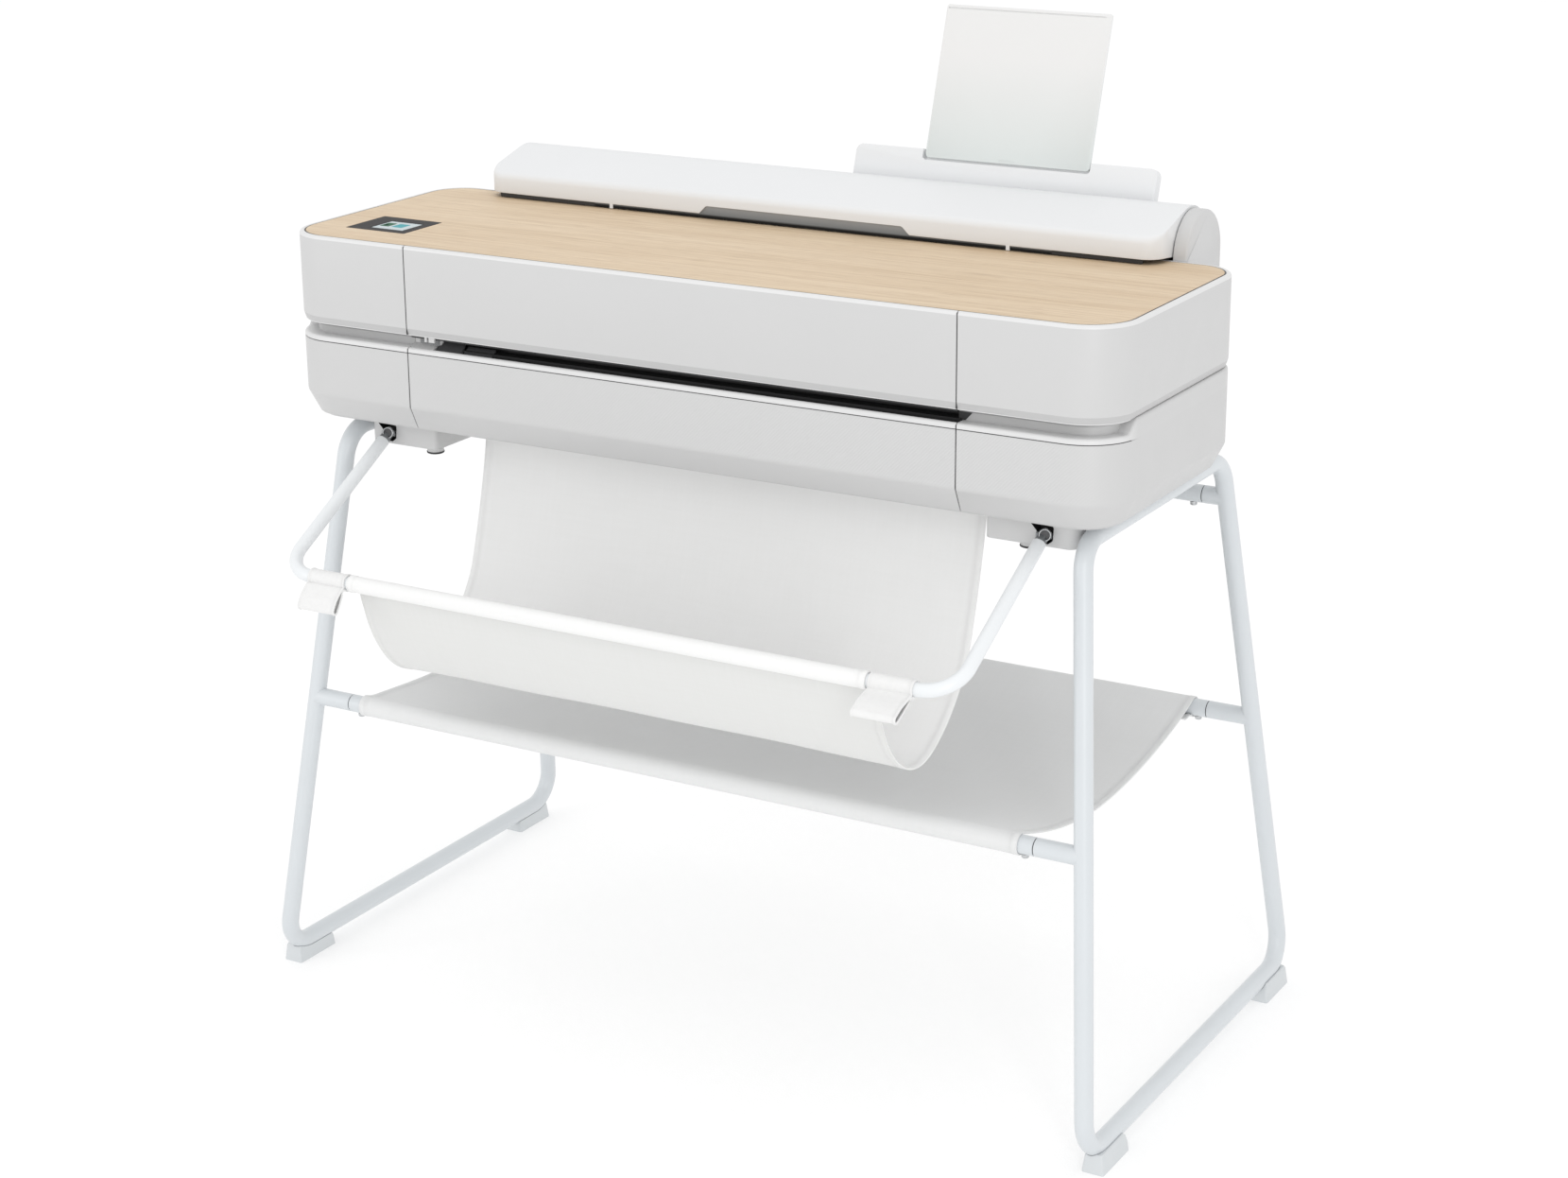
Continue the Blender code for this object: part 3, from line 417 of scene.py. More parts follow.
# ---------------------------------------------------------------- shape helpers
def skin(rings, closed=False, caps=True):
    """Joins rings of points, each a closed loop, with caps at the ends unless the row of rings closes."""
    bm = bmesh.new()
    loops = [[bm.verts.new(p) for p in ring] for ring in rings]
    pairs = list(zip(loops, loops[1:]))
    if closed:
        pairs.append((loops[-1], loops[0]))
    for low, high in pairs:
        for i in range(len(low)):
            j = (i + 1) % len(low)
            bm.faces.new((low[i], low[j], high[j], high[i]))
    if caps and not closed:
        bm.faces.new(loops[0])
        bm.faces.new(loops[-1])
    return bm


def along(axis, value, point):
    a, b = point
    return {"X": (value, a, b), "Y": (a, value, b), "Z": (a, b, value)}[axis]


def prism(outline, axis, low, high):
    return skin([[along(axis, value, p) for p in outline] for value in (low, high)])


def box(low, high):
    (x0, y0, z0), (x1, y1, z1) = low, high
    return prism([(x0, y0), (x1, y0), (x1, y1), (x0, y1)], "Z", z0, z1)


def stack(levels):
    """A solid that stands up through outlines in plan, each at its own height."""
    return skin([[(x, y, z) for x, y in outline] for outline, z in levels])


def circle(centre, radius, sides):
    angles = [math.tau * i / sides for i in range(sides)]
    return [(centre[0] + radius * math.cos(a), centre[1] + radius * math.sin(a)) for a in angles]


def hoop(centre, across, up, radius, sides, phase=0.0):
    """A circle of points round a centre, in the plane of two directions."""
    angles = [math.tau * (k + phase) / sides for k in range(sides)]
    return [centre + radius * (math.cos(a) * across + math.sin(a) * up) for a in angles]


def arc(centre, radius, start, end, steps):
    """Points on an arc, angles in degrees."""
    angles = [math.radians(start + (end - start) * i / steps) for i in range(steps + 1)]
    return [(centre[0] + radius * math.cos(a), centre[1] + radius * math.sin(a)) for a in angles]


def rounded_rect(low, high, radii, steps=8):
    """A rectangle with round corners: one radius for all, or one each, counter-clockwise from the low one."""
    (x0, y0), (x1, y1) = low, high
    a, b, c, d = radii if isinstance(radii, tuple) else (radii,) * 4
    return (arc((x0 + a, y0 + a), a, 180, 270, steps) + arc((x1 - b, y0 + b), b, 270, 360, steps)
            + arc((x1 - c, y1 - c), c, 0, 90, steps) + arc((x0 + d, y1 - d), d, 90, 180, steps))


def turned(profile, axis, centre, sides=40):
    """A solid turned about a line along an axis; the profile lists (place along, radius)."""
    return skin([[along(axis, spot, p) for p in circle(centre, radius, sides)] for spot, radius in profile])


def fillet(points, radius, steps, closed=False):
    """Rounds the corners of a path of straight runs."""
    points = [Vector(p) for p in points]
    count = len(points)
    path = []
    for i, corner in enumerate(points):
        if not closed and i in (0, count - 1):
            path.append(corner)
            continue
        before = (points[i - 1] - corner).normalized()
        after = (points[(i + 1) % count] - corner).normalized()
        half = before.angle(after) / 2
        reach = radius / math.tan(half)
        middle = corner + (before + after).normalized() * (radius / math.sin(half))
        first = (corner + before * reach - middle).normalized()
        last = (corner + after * reach - middle).normalized()
        path += [middle + first.slerp(last, k / steps) * radius for k in range(steps + 1)]
    return path


def pipe(path, radius, sides, normal, closed=False):
    """A round bar along a flat path; normal is the path's plane's normal."""
    path = [Vector(p) for p in path]
    normal = Vector(normal).normalized()
    count = len(path)
    rings = []
    for i, point in enumerate(path):
        before = path[i - 1] if i or closed else point
        after = path[(i + 1) % count] if i < count - 1 or closed else point
        ahead = ((after - point).normalized() + (point - before).normalized()).normalized()
        rings.append(hoop(point, normal.cross(ahead).normalized(), normal, radius, sides, 0.5))
    return skin(rings, closed)


def bezier(start, handle_a, handle_b, end, steps):
    knots = [Vector((*p, 0)) for p in (start, handle_a, handle_b, end)]
    return [Vector((p.x, p.y)) for p in interpolate_bezier(*knots, steps + 1)]


def smooth_line(points, steps):
    """A rounded line through points in a plane."""
    points = [Vector(p) for p in points]
    line = [points[0]]
    for i in range(len(points) - 1):
        a, b = points[i], points[i + 1]
        slope_a = (b - points[max(i - 1, 0)]) / (2 if i else 1)
        slope_b = (points[min(i + 2, len(points) - 1)] - a) / (2 if i + 2 < len(points) else 1)
        line += bezier(a, a + slope_a / 3, b - slope_b / 3, b, steps)[1:]
    return line


def piece(name, bm, look, node=None, body=None, sharp=35, bevel=0.0, extra=(), carried=True):
    """Makes a visual piece. It stands for its CAD node, if it has one, and rides on that node's body.
    """
    bmesh.ops.recalc_face_normals(bm, faces=bm.faces)
    obj = linked(name, mesh_of(name, bm))
    obj.data.shade_smooth()
    obj.data.set_sharp_from_angle(angle=math.radians(sharp))
    for material in (look, *extra):
        obj.data.materials.append(LOOKS[material])
    if bevel:
        soften(obj, bevel)
    if node:
        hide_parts(node)
    if carried:
        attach(obj, body or (BODY_OF[node] if node else ROOT))
    return obj


def mesh_of(name, bm):
    mesh = bpy.data.meshes.new(name)
    bm.to_mesh(mesh)
    bm.free()
    return mesh


def linked(name, data):
    """A new object of the scene."""
    obj = bpy.data.objects.new(name, data)
    bpy.context.scene.collection.objects.link(obj)
    return obj


def soften(obj, width, angle=40):
    modifier = obj.modifiers.new("eased edges", "BEVEL")
    modifier.width = width
    modifier.segments = 2
    modifier.limit_method = "ANGLE"
    modifier.angle_limit = math.radians(angle)
    modifier.harden_normals = True


def cut(obj, *shapes, operation="DIFFERENCE", sharp=35):
    """Cuts shapes from a piece, or joins them on, and applies the result."""
    helpers = []
    for bm in shapes:
        bmesh.ops.recalc_face_normals(bm, faces=bm.faces)
        helpers.append(linked("cutter", mesh_of("cutter", bm)))
        modifier = obj.modifiers.new("cut", "BOOLEAN")
        modifier.operation = operation
        modifier.solver = "EXACT"
        modifier.object = helpers[-1]
    bpy.context.view_layer.update()
    graph = bpy.context.evaluated_depsgraph_get()
    mesh = bpy.data.meshes.new_from_object(obj.evaluated_get(graph), preserve_all_data_layers=True,
                                           depsgraph=graph)
    obj.modifiers.clear()
    obj.data = mesh
    mesh.shade_smooth()
    mesh.set_sharp_from_angle(angle=math.radians(sharp))
    for helper in helpers:
        bpy.data.objects.remove(helper, do_unlink=True)


def joined(*shapes):
    """Several closed shapes in one mesh."""
    whole = bmesh.new()
    for bm in shapes:
        mesh = mesh_of("part", bm)
        whole.from_mesh(mesh)
        bpy.data.meshes.remove(mesh)
    return whole


def screw_head(centre, outward, radius, height):
    """A pan head with a hexagonal socket, facing along outward."""
    turn = Vector(outward).to_track_quat("Z", "Y").to_matrix()
    sides = 28
    levels = [(circle((0, 0), radius * share, sides), height * rise)
              for share, rise in ((1.0, 0.0), (1.0, 0.55), (0.93, 0.85), (0.80, 1.0))]
    socket = [hexagon_point(math.tau * k / sides, radius * 0.46) for k in range(sides)]
    levels += [(socket, height), (socket, height * 0.25)]
    return skin([[Vector(centre) + turn @ Vector((*p, z)) for p in outline] for outline, z in levels])


def hexagon_point(angle, radius):
    """The point of a hexagon's outline at that angle, where radius reaches its corners."""
    within = (angle % (math.pi / 3)) - math.pi / 6
    reach = radius * math.cos(math.pi / 6) / math.cos(within)
    return reach * math.cos(angle), reach * math.sin(angle)


# ---------------------------------------------------------------- stand
def leg_x(z):
    return LEG_RAIL_X - LEG_LEAN_X * (z - Z_RAIL)


def leg_y(z):
    return LEG_FOOT_Y - LEG_LEAN_Y * z


def leg_loop(side):
    corners = [(side * leg_x(z), Y0 + s * leg_y(z), z) for z, s in
               ((Z_RAIL, -1), (Z_RAIL, 1), (Z_TOP_BAR, 1), (Z_TOP_BAR, -1))]
    return fillet(corners, 0.033, 18, closed=True)


def leg_bar(side, radius):
    return pipe(leg_loop(side), radius, 40, (side, 0, LEG_LEAN_X), closed=True)


def make_stand():
    joints = {"shelf_tube_front": (Z_SHELF, -1, SHELF_JOINT), "shelf_tube_rear": (Z_SHELF, 1, SHELF_JOINT),
              "upper_cross_tube": (Z_CROSS, 1, CROSS_JOINT)}
    for side, word in ((-1, "left"), (1, "right")):
        leg = piece("leg_frame_%s_tube" % word, leg_bar(side, LEG_TUBE), "powder_coat", "leg_frame_" + word)
        stubs = []
        for z, s, joint in joints.values():
            profile = [(side * (joint + 0.0004), LEG_TUBE - 0.0005), (side * (joint + 0.0008), LEG_TUBE),
                       (side * (leg_x(z) - 0.012), LEG_TUBE), (side * leg_x(z), LEG_TUBE - 0.0002)]
            stubs.append(turned(profile, "X", (Y0 + s * leg_y(z), z)))
        cut(leg, *stubs, operation="UNION", sharp=40)
        for s, end in ((-1, "front"), (1, "rear")):
            make_foot(side, s, "foot_%s_%s" % (end, word))
    for name, (z, s, joint) in joints.items():
        y, half, spigot = Y0 + s * leg_y(z), joint - 0.0005, LEG_TUBE - 0.0009
        profile = [(-half, LEG_TUBE - 0.0005), (-half + 0.0004, LEG_TUBE), (half - 0.0004, LEG_TUBE),
                   (half, LEG_TUBE - 0.0005)]
        piece(name + "_bar", turned(profile, "X", (y, z)), "powder_coat", name)
        spigots = [turned([(side * (half - 0.01), spigot), (side * (half + 0.01), spigot)], "X", (y, z), 32)
                   for side in (-1, 1)]
        piece(name + "_spigots", joined(*spigots), "black_plastic")
        heads = [screw_head((side * (joint - 0.0115), y, z - LEG_TUBE + 0.0004), (0, 0, -1), 0.0040, 0.0040)
                 for side in (-1, 1)]
        piece(name + "_screws", joined(*heads), "steel")


def make_foot(side, s, node):
    """A wedge-sided plastic shoe: wider at the floor, slanted at its inner end, grooved for the tube."""
    low, high = (Vector(c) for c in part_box(node))
    middle = (low.x + high.x) / 2
    outer, inner, toward = (low.y, high.y, 1) if s < 0 else (high.y, low.y, -1)
    height = 0.0190
    levels = []
    for z, slim, cut_back in ((0.0, 0.0, 0.0), (0.0012, 0.0, 0.0), (0.0100, 0.0012, 0.0),
                              (0.0170, 0.0022, 0.0030), (height, 0.0036, 0.0050)):
        half = (high.x - low.x) / 2 - slim
        y0, y1 = sorted((outer + toward * slim * 0.8, inner - toward * (cut_back + slim * 0.6)))
        outline = rounded_rect((middle - half, y0), (middle + half, y1), 0.0024, 5)
        levels.append((outline, high.z * z / height))
    foot = piece(node + "_shoe", stack(levels), "shoe_plastic", node, sharp=30)
    cut(foot, leg_bar(side, LEG_TUBE + 0.0004), sharp=30)
    # painted shade: a black block under the tube's bend, in the gap above the shoe
    y0, y1 = sorted((outer + toward * 0.0012, outer + toward * 0.0140))
    under = Z_RAIL - LEG_TUBE
    piece(node + "_gap_shade", box((middle - 0.0062, y0, under - 0.0004), (middle + 0.0062, y1, under + 0.0009)),
          "black_plastic")


def make_docks():
    """The housings between casing and stand, with the bin's steel pivots and the casing's own rubber feet."""
    for side, word in ((-1, "left"), (1, "right")):
        low, high = (Vector(c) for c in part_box("dock_" + word))
        corners = (0.012, 0.004, 0.012, 0.012) if side < 0 else (0.004, 0.012, 0.012, 0.012)
        levels = []
        for drop, slim in ((0.0, 0.0016), (0.0005, 0.0006), (0.0014, 0.0), (high.z - low.z, 0.0)):
            outline = rounded_rect((low.x + slim, low.y + slim), (high.x - slim, high.y - slim),
                                   tuple(radius - slim for radius in corners))
            levels.append((outline, low.z + drop))
        dock = piece("dock_%s_housing" % word, stack(levels), "white_plastic", "dock_" + word,
                     extra=("black_plastic",))
        pivot = side * PIVOT_X
        recess = [(pivot + dx, z) for dx, z in
                  ((-0.0082, 0.6035), (0.0040, 0.6030), (0.0090, 0.6070), (0.0098, 0.6195), (0.0090, 0.6212),
                   (-0.0150, 0.6225), (-0.0082, 0.6150))]
        cut(dock, prism(recess, "Y", PIVOT_Y - 0.012, PIVOT_Y + 0.0120))
        darken_recess(dock, pivot)
        make_pivot(word, pivot)
        make_printer_foot("printer_foot_" + word)


def make_pivot(word, pivot):
    """The bin's pivot: a pin along X, and a nut with a socket that faces out of the dock's recess."""
    screw = Vector((pivot + 0.0038, PIVOT_Y - 0.0052, PIVOT_Z + 0.0022))
    facing = Vector((0.30, -1.0, 0.10)).normalized()

    def disc(outline, start, depth):
        base = [screw + facing * start + turn_out(facing, *p) for p in outline]
        return skin([base, [p + facing * depth for p in base]])

    nut = [hexagon_point(math.tau * k / 6 + 0.2, 0.0062) for k in range(6)]
    bolt = joined(turned([(pivot - 0.0075, 0.0028), (pivot + 0.0085, 0.0028)], "X", (PIVOT_Y, PIVOT_Z), 24),
                  disc(nut, -0.0042, 0.0036))
    piece("pivot_bolt_%s_steel" % word, bolt, "dark_steel", "pivot_bolt_" + word, bevel=0.0002)
    socket = tube_end(screw - facing * 0.0008, facing, 0.0060, 0.0049, 0.0044)
    piece("pivot_socket_" + word, socket, "steel", bevel=0.0001)
    # painted shade: the socket's floor is dark grey
    piece("pivot_socket_%s_floor" % word, disc(circle((0, 0), 0.0048, 24), 0.0010, 0.0004), "dark_grey")


def turn_out(facing, across, up):
    """A point of a flat shape that faces along facing, given its two coordinates."""
    side = Vector((0, 0, 1)).cross(facing).normalized()
    return side * across + facing.cross(side) * up


def tube_end(base, facing, outer, inner, depth):
    """A socket: a short tube that is open towards facing."""
    across, up = turn_out(facing, 1, 0), turn_out(facing, 0, 1)
    return skin([hoop(base + facing * reach, across, up, radius, 32) for radius, reach in
                 ((outer, 0.0), (outer, depth - 0.0004), (outer - 0.0004, depth), (inner + 0.0002, depth),
                  (inner, depth - 0.0003), (inner, depth - 0.0028))])


def darken_recess(dock, pivot):
    """Painted shade: the faces inside the pivot's recess get the black look."""
    for face in dock.data.polygons:
        x, y, z = face.center
        behind_face = max(PIVOT_Y - 0.0105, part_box("dock_left")[0][1] + 0.0006) < y < PIVOT_Y + 0.0125
        if behind_face and abs(x - pivot) < 0.0155 and 0.6026 < z < 0.6244:
            face.material_index = 1


def make_printer_foot(node):
    low, high = (Vector(c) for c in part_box(node))
    centre = ((low.x + high.x) / 2, (low.y + high.y) / 2)
    radius = (high.x - low.x) / 2
    top = 0.0022
    pad = [(low.z + rise, radius - ease) for rise, ease in
           ((0.0, 0.0012), (0.0005, 0.0003), (0.0010, 0.0), (top, 0.0))]
    boss = [(low.z + top, radius - 0.0006), (high.z, radius - 0.0006)]
    piece(node + "_pad", turned(pad, "Z", centre), "rubber", node)
    piece(node + "_boss", turned(boss, "Z", centre), "white_plastic")


# ---------------------------------------------------------------- bin
def make_bin_frame():
    down = (Vector((0, BAR_Y, BAR_Z)) - Vector((0, PIVOT_Y, PIVOT_Z))).normalized()
    start = Vector((0, PIVOT_Y, PIVOT_Z)) + down * 0.0120
    path = fillet([(-PIVOT_X, start.y, start.z), (-PIVOT_X, BAR_Y, BAR_Z), (PIVOT_X, BAR_Y, BAR_Z),
                   (PIVOT_X, start.y, start.z)], 0.036, 18)
    bar = pipe(path, BIN_TUBE, 36, Vector((1, 0, 0)).cross(down))
    piece("bin_frame_tube", bar, "arm_coat_lit", "bin_frame", bevel=0.0006)
    lugs = joined(pivot_lug(-1, down), pivot_lug(1, down))
    piece("bin_frame_lugs", lugs, "dark_steel", body=BODY_OF["bin_frame"])


def pivot_lug(side, down):
    """The steel eye that sticks out of the arm's end and turns on the bolt."""
    across = Vector((1, 0, 0))
    pivot = Vector((side * PIVOT_X, PIVOT_Y, PIVOT_Z))
    steps = ((-0.0062, 0.0030), (-0.0052, 0.0046), (-0.0034, 0.0056), (-0.0010, 0.0060), (0.0135, 0.0060))
    side = across.cross(down)
    return skin([hoop(pivot + down * reach, across, side, radius, 32) for reach, radius in steps])


def unit_normals(line):
    """Left-hand unit normals of a line in the (y, z) plane."""
    found = []
    for i in range(len(line)):
        ahead = (line[min(i + 1, len(line) - 1)] - line[max(i - 1, 0)]).normalized()
        found.append(Vector((-ahead.y, ahead.x)))
    return found


def even_columns(half, hem, count):
    """x places across a cloth: evenly spaced, with close pairs where the hems start."""
    inner = [(-half + hem) + (2 * (half - hem)) * i / count for i in range(count + 1)]
    edge = [-half, -half + 0.0004, -half + hem * 0.5, -half + hem - 0.0004]
    return edge + inner + [-x for x in edge[::-1]]


def cloth(name, line, half, look, node, thickness=0.0009, hem=0.0070, columns=70, wave=None, carried=True):
    """A thin sheet along a (y, z) line, hemmed along both side edges, with a UV map in metres."""
    line = [Vector(p) for p in line]
    normals = unit_normals(line)
    lengths = [0.0]
    for a, b in zip(line, line[1:]):
        lengths.append(lengths[-1] + (b - a).length)
    xs = even_columns(half, hem, columns)
    bm = bmesh.new()
    layers = []
    for sign in (1, -1):
        grid = []
        for i, (p, n) in enumerate(zip(line, normals)):
            row = []
            for x in xs:
                edge = half - abs(x)
                thick = thickness * (1.9 if edge < hem - 0.0002 else 1.0) * (0.55 if edge < 0.0002 else 1.0)
                lift = wave(x, lengths[i] / lengths[-1]) if wave else 0.0
                q = p + n * (sign * thick / 2 + lift)
                row.append(bm.verts.new((x, q.x, q.y)))
            grid.append(row)
        layers.append(grid)
    top, under = layers
    uv = bm.loops.layers.uv.new("UVMap")

    def face(*corners):
        made = bm.faces.new([grid[i][j] for grid, i, j in corners])
        for loop, (_, i, j) in zip(made.loops, corners):
            loop[uv].uv = (xs[j], lengths[i])

    last_row, last_column = len(line) - 1, len(xs) - 1
    for grid in layers:
        for i in range(last_row):
            for j in range(last_column):
                face((grid, i, j), (grid, i, j + 1), (grid, i + 1, j + 1), (grid, i + 1, j))
    for j in (0, last_column):
        for i in range(last_row):
            face((top, i, j), (top, i + 1, j), (under, i + 1, j), (under, i, j))
    for i in (0, last_row):
        for j in range(last_column):
            face((top, i, j), (top, i, j + 1), (under, i, j + 1), (under, i, j))
    return piece(name, bm, look, node, sharp=60, carried=carried), lengths[-1]


def make_bin_cloth():
    """One sheet: down from under the casing, round the belly, up in front, and sewn round the bar."""
    sleeve = BIN_TUBE + 0.0011
    half = BIN_HALF + 0.0035
    rise = Vector((-0.34, 0.94)).normalized()
    leave = Vector((BAR_Y, BAR_Z)) + Vector((rise.y, -rise.x)) * sleeve
    knots = [(Y0 + y, z) for y, z in
             ((-0.1017, 0.6322), (-0.1060, 0.5800), (-0.1250, 0.5150), (-0.1400, 0.4717), (-0.1580, 0.4300),
              (-0.2080, 0.3880), (-0.2420, 0.3880), (-0.2890, 0.3880), (-0.3215, 0.4370))]
    rear = bezier(*knots[:4], 22)
    belly = bezier(*knots[3:7], 26)
    front = bezier(*knots[6:], leave - rise * 0.018, 24)
    turn = math.degrees(math.atan2(-rise.x, rise.y))
    wrap = [Vector(p) for p in arc((BAR_Y, BAR_Z), sleeve, turn, 262, 30)]
    tail = leave - rise * 0.0135 + Vector((-0.0021, 0.0))
    line = rear + belly[1:] + front[1:] + [leave - rise * 0.009] + wrap + [(wrap[-1] + tail) / 2, tail]

    def drape(x, t):
        edge = 1 - (abs(x) / BIN_HALF) ** 6
        belly_sag = 0.0016 * math.sin(math.pi * min(1.0, t / 0.86)) * edge
        ripple = 0.0006 * math.sin(23 * x + 2.0) * math.sin(9 * t + 11 * x) * (1 if t < 0.86 else 0)
        gather = 0.0007 * math.sin(88 * x + 4 * math.sin(17 * x)) * math.exp(-((t - 0.80) / 0.05) ** 2)
        return -belly_sag + ripple + gather

    sheet, length = cloth("bin_cloth", line, half, "fabric", "bin_sling", columns=110, wave=drape,
                          carried=False)
    shade_outer_side(sheet)
    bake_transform(sheet)
    y = Y0 - 0.1017
    clips = [box((x - 0.007, y - 0.0022, 0.6262), (x + 0.007, y - 0.0008, 0.6327))
             for x in (-0.285, -0.14, 0.0, 0.14, 0.285)]
    piece("bin_clips", joined(*clips), "steel", bevel=0.0003)


def shade_outer_side(sheet):
    """Painted shade: the sheet's outer side, below the sleeve, gets a darker copy of the canvas."""
    sheet.data.materials.append(LOOKS["fabric_shaded_side"])
    middle = Vector((0.0, Y0 - 0.235, 0.520))
    for face in sheet.data.polygons:
        outward = face.center - middle
        outward.x = 0.0
        if face.normal.dot(outward) > 0 and face.center.z < BAR_Z - 0.010:
            face.material_index = 1


def strap_line(tip):
    """A strap round the bar, whose two layers meet in front and go on to the tip as a flattened loop."""
    tip = Vector(tip)
    meet = Vector((BAR_Y - 0.0110, BAR_Z - 0.0065))
    ahead = (tip - meet).normalized()
    up = Vector((ahead.y, -ahead.x))
    middle = (meet + tip) / 2
    wrap = [Vector(p) for p in arc((BAR_Y, BAR_Z), BIN_TUBE + 0.0011, -126, 205, 44)]
    start = bezier(meet - up * 0.0006 + ahead * 0.0010, meet - up * 0.0006 - ahead * 0.0020,
                   wrap[0] + Vector((-0.0020, 0.0012)), wrap[0], 6)
    top = tip - ahead * 0.0030 + up * 0.0036
    over = smooth_line([wrap[-1], meet + up * 0.0014, middle + up * 0.0040, top], 8)
    nose = [tip - ahead * 0.0030 + (ahead * math.cos(a) + up * math.sin(a)) * 0.0036 for a in
            (math.radians(80 - 160 * k / 14) for k in range(15))]
    under = smooth_line([nose[-1], middle - up * 0.0034, meet - up * 0.0020 + ahead * 0.0016], 8)
    return start[:-1] + wrap + over[1:] + nose + under[1:]


def make_straps():
    middle, half = (0.3035 + 0.3500) / 2, (0.3500 - 0.3035) / 2
    for side, word, tip in ((-1, "left", (Y0 - 0.3730, 0.4827)), (1, "right", (Y0 - 0.3880, 0.4900))):
        node = "strap_loop_" + word
        strap, length = cloth(node + "_tape", strap_line(tip), half, "strap", node,
                              thickness=0.0012, hem=0.0022, columns=10)
        for vertex in strap.data.vertices:
            vertex.co.x += side * middle


def make_shelf():
    """One sheet between the two shelf tubes, sewn into a sleeve round each."""
    sleeve = LEG_TUBE + 0.0011
    reach = leg_y(Z_SHELF)
    front_tube, rear_tube = Vector((Y0 - reach, Z_SHELF)), Vector((Y0 + reach, Z_SHELF))
    fall = Vector((math.cos(math.radians(-20)), math.sin(math.radians(-20))))
    start = front_tube + Vector((-fall.y, fall.x)) * sleeve
    end = rear_tube + Vector((fall.y, fall.x)) * sleeve
    low = Z_SHELF - 0.0283
    a = bezier(start, start + fall * 0.060, (Y0 - 0.090, low), (Y0 - 0.020, low), 24)
    b = bezier((Y0 - 0.020, low), (Y0 + 0.060, low), end + Vector((-fall.x, fall.y)) * 0.060, end, 26)
    front_wrap = [Vector(p) for p in arc(front_tube, sleeve, 318, 70, 30)]
    rear_wrap = [Vector(p) for p in arc(rear_tube, sleeve, 110, -138, 30)]
    front_lap = [front_wrap[0] + Vector((0.0170, 0.0004)), front_wrap[0] + Vector((0.0060, 0.0008))]
    rear_lap = [rear_wrap[-1] + Vector((-0.0060, 0.0008)), rear_wrap[-1] + Vector((-0.0170, 0.0004))]
    line = front_lap + front_wrap[:-1] + a + b[1:] + rear_wrap[1:] + rear_lap

    def drape(x, t):
        edge = 1 - (abs(x) / SHELF_HALF) ** 4
        inside = math.sin(math.pi * min(1.0, max(0.0, (t - 0.13) / 0.74)))
        sag = -0.0030 * inside * edge
        near_tubes = math.exp(-((t - 0.18) / 0.05) ** 2) + math.exp(-((t - 0.82) / 0.05) ** 2)
        pull = 0.0009 * math.sin(46 * x + 2.2 * math.sin(9 * x)) * near_tubes * inside
        left = min(1.0, max(0.0, (-x - 0.130) / (SHELF_HALF - 0.130)))
        taut = 0.0270 * left * left * (3 - 2 * left) * inside ** 0.9
        return sag + pull + taut

    sheet, length = cloth("shelf_cloth", line, SHELF_HALF, "shaded_shelf_canvas", "shelf_sling", columns=120,
                          wave=drape)


# ---------------------------------------------------------------- casing shells
def upper_profile(t):
    """Section of the upper casing as (depth from the face, height). t = 1 where the two casings close up."""
    lift = 0.0035 * t
    foot = Z_UPPER + 0.0015 * t
    brow = [(0.0025, foot), (0.0021, foot + 0.0008), (0.0002, foot + 0.0068), (0.0, foot + 0.0075)]
    crest = arc((0.0034, Z_RIM - 0.0034), 0.0034, 180, 98, 7)
    nose = arc((RIM - 0.0010, Z_RIM - 0.0011), 0.0010, 82, 0, 4)
    return (brow + [(0, Z_RIM - 0.0200)] + crest + nose
            + [(RIM, 0.8262), (WALL, 0.8240), (WALL, 0.7420 + lift), (0.0180, 0.7380 + lift),
               (0.0180, 0.7350 + lift), (0.0080, 0.7350 + lift)])


def lower_profile(t):
    """Section of the lower casing's end, with the inner wall of the groove above its lip."""
    top = Z_LIP + (0.7381 - Z_LIP) * t
    wall_top = max(0.7345, top + 0.0002)
    foot = [(0.0170, Z_PAN), (0.0136, Z_PAN), (0.0126, Z_PAN + 0.0003), (0.0118, Z_PAN + 0.0011)]
    kink = [(depth, Z_KINK + rise) for depth, rise in
            ((0.0012, -0.0022), (0.0004, -0.0005), (0.00005, 0.0014), (0, 0.0034))]
    groove = TRIM_DEEP * (1 - t)
    low, high = Z_TRIM - TRIM_HALF, Z_TRIM + TRIM_HALF
    trim = [(0, low), (groove, low), (groove, high), (0, high)]
    lip = arc((0.0036, top - 0.0036), 0.0036, 180, 92, 6)
    return (foot + kink + trim + lip + [(0.0150, top), (0.0150, wall_top), (0.0180, wall_top),
                                        (0.0180, top - 0.0030), (WALL, top - 0.0030), (WALL, Z_KINK + 0.0011),
                                        (0.0148, Z_PAN + 0.0030), (0.0170, Z_PAN + 0.0030)])


def end_stations(steps_front=22, steps_rear=16):
    """Where the end shell's section stands: a function from depth to (x, y), and how closed the groove is."""
    x0 = SEAM + GAP
    stations = [(lambda d: (x0, BODY_FRONT + d), 0.0)]
    for steps, first, corner, y in ((steps_front, -90, CORNER_FRONT, BODY_FRONT + CORNER_FRONT),
                                    (steps_rear, 0, CORNER_REAR, BODY_REAR - CORNER_REAR)):
        for i in range(steps + 1):
            a = math.radians(first + 90 * i / steps)
            close = min(1.0, max(0.0, (i / steps - 0.80) / 0.20)) if first < 0 else 1.0
            close = close * close * (3 - 2 * close)
            stations.append((lambda d, a=a, corner=corner, y=y: (
                BODY_HALF - corner + (corner - d) * math.cos(a), y + (corner - d) * math.sin(a)), close))
    stations.append((lambda d: (x0, BODY_REAR - d), 1.0))
    return stations


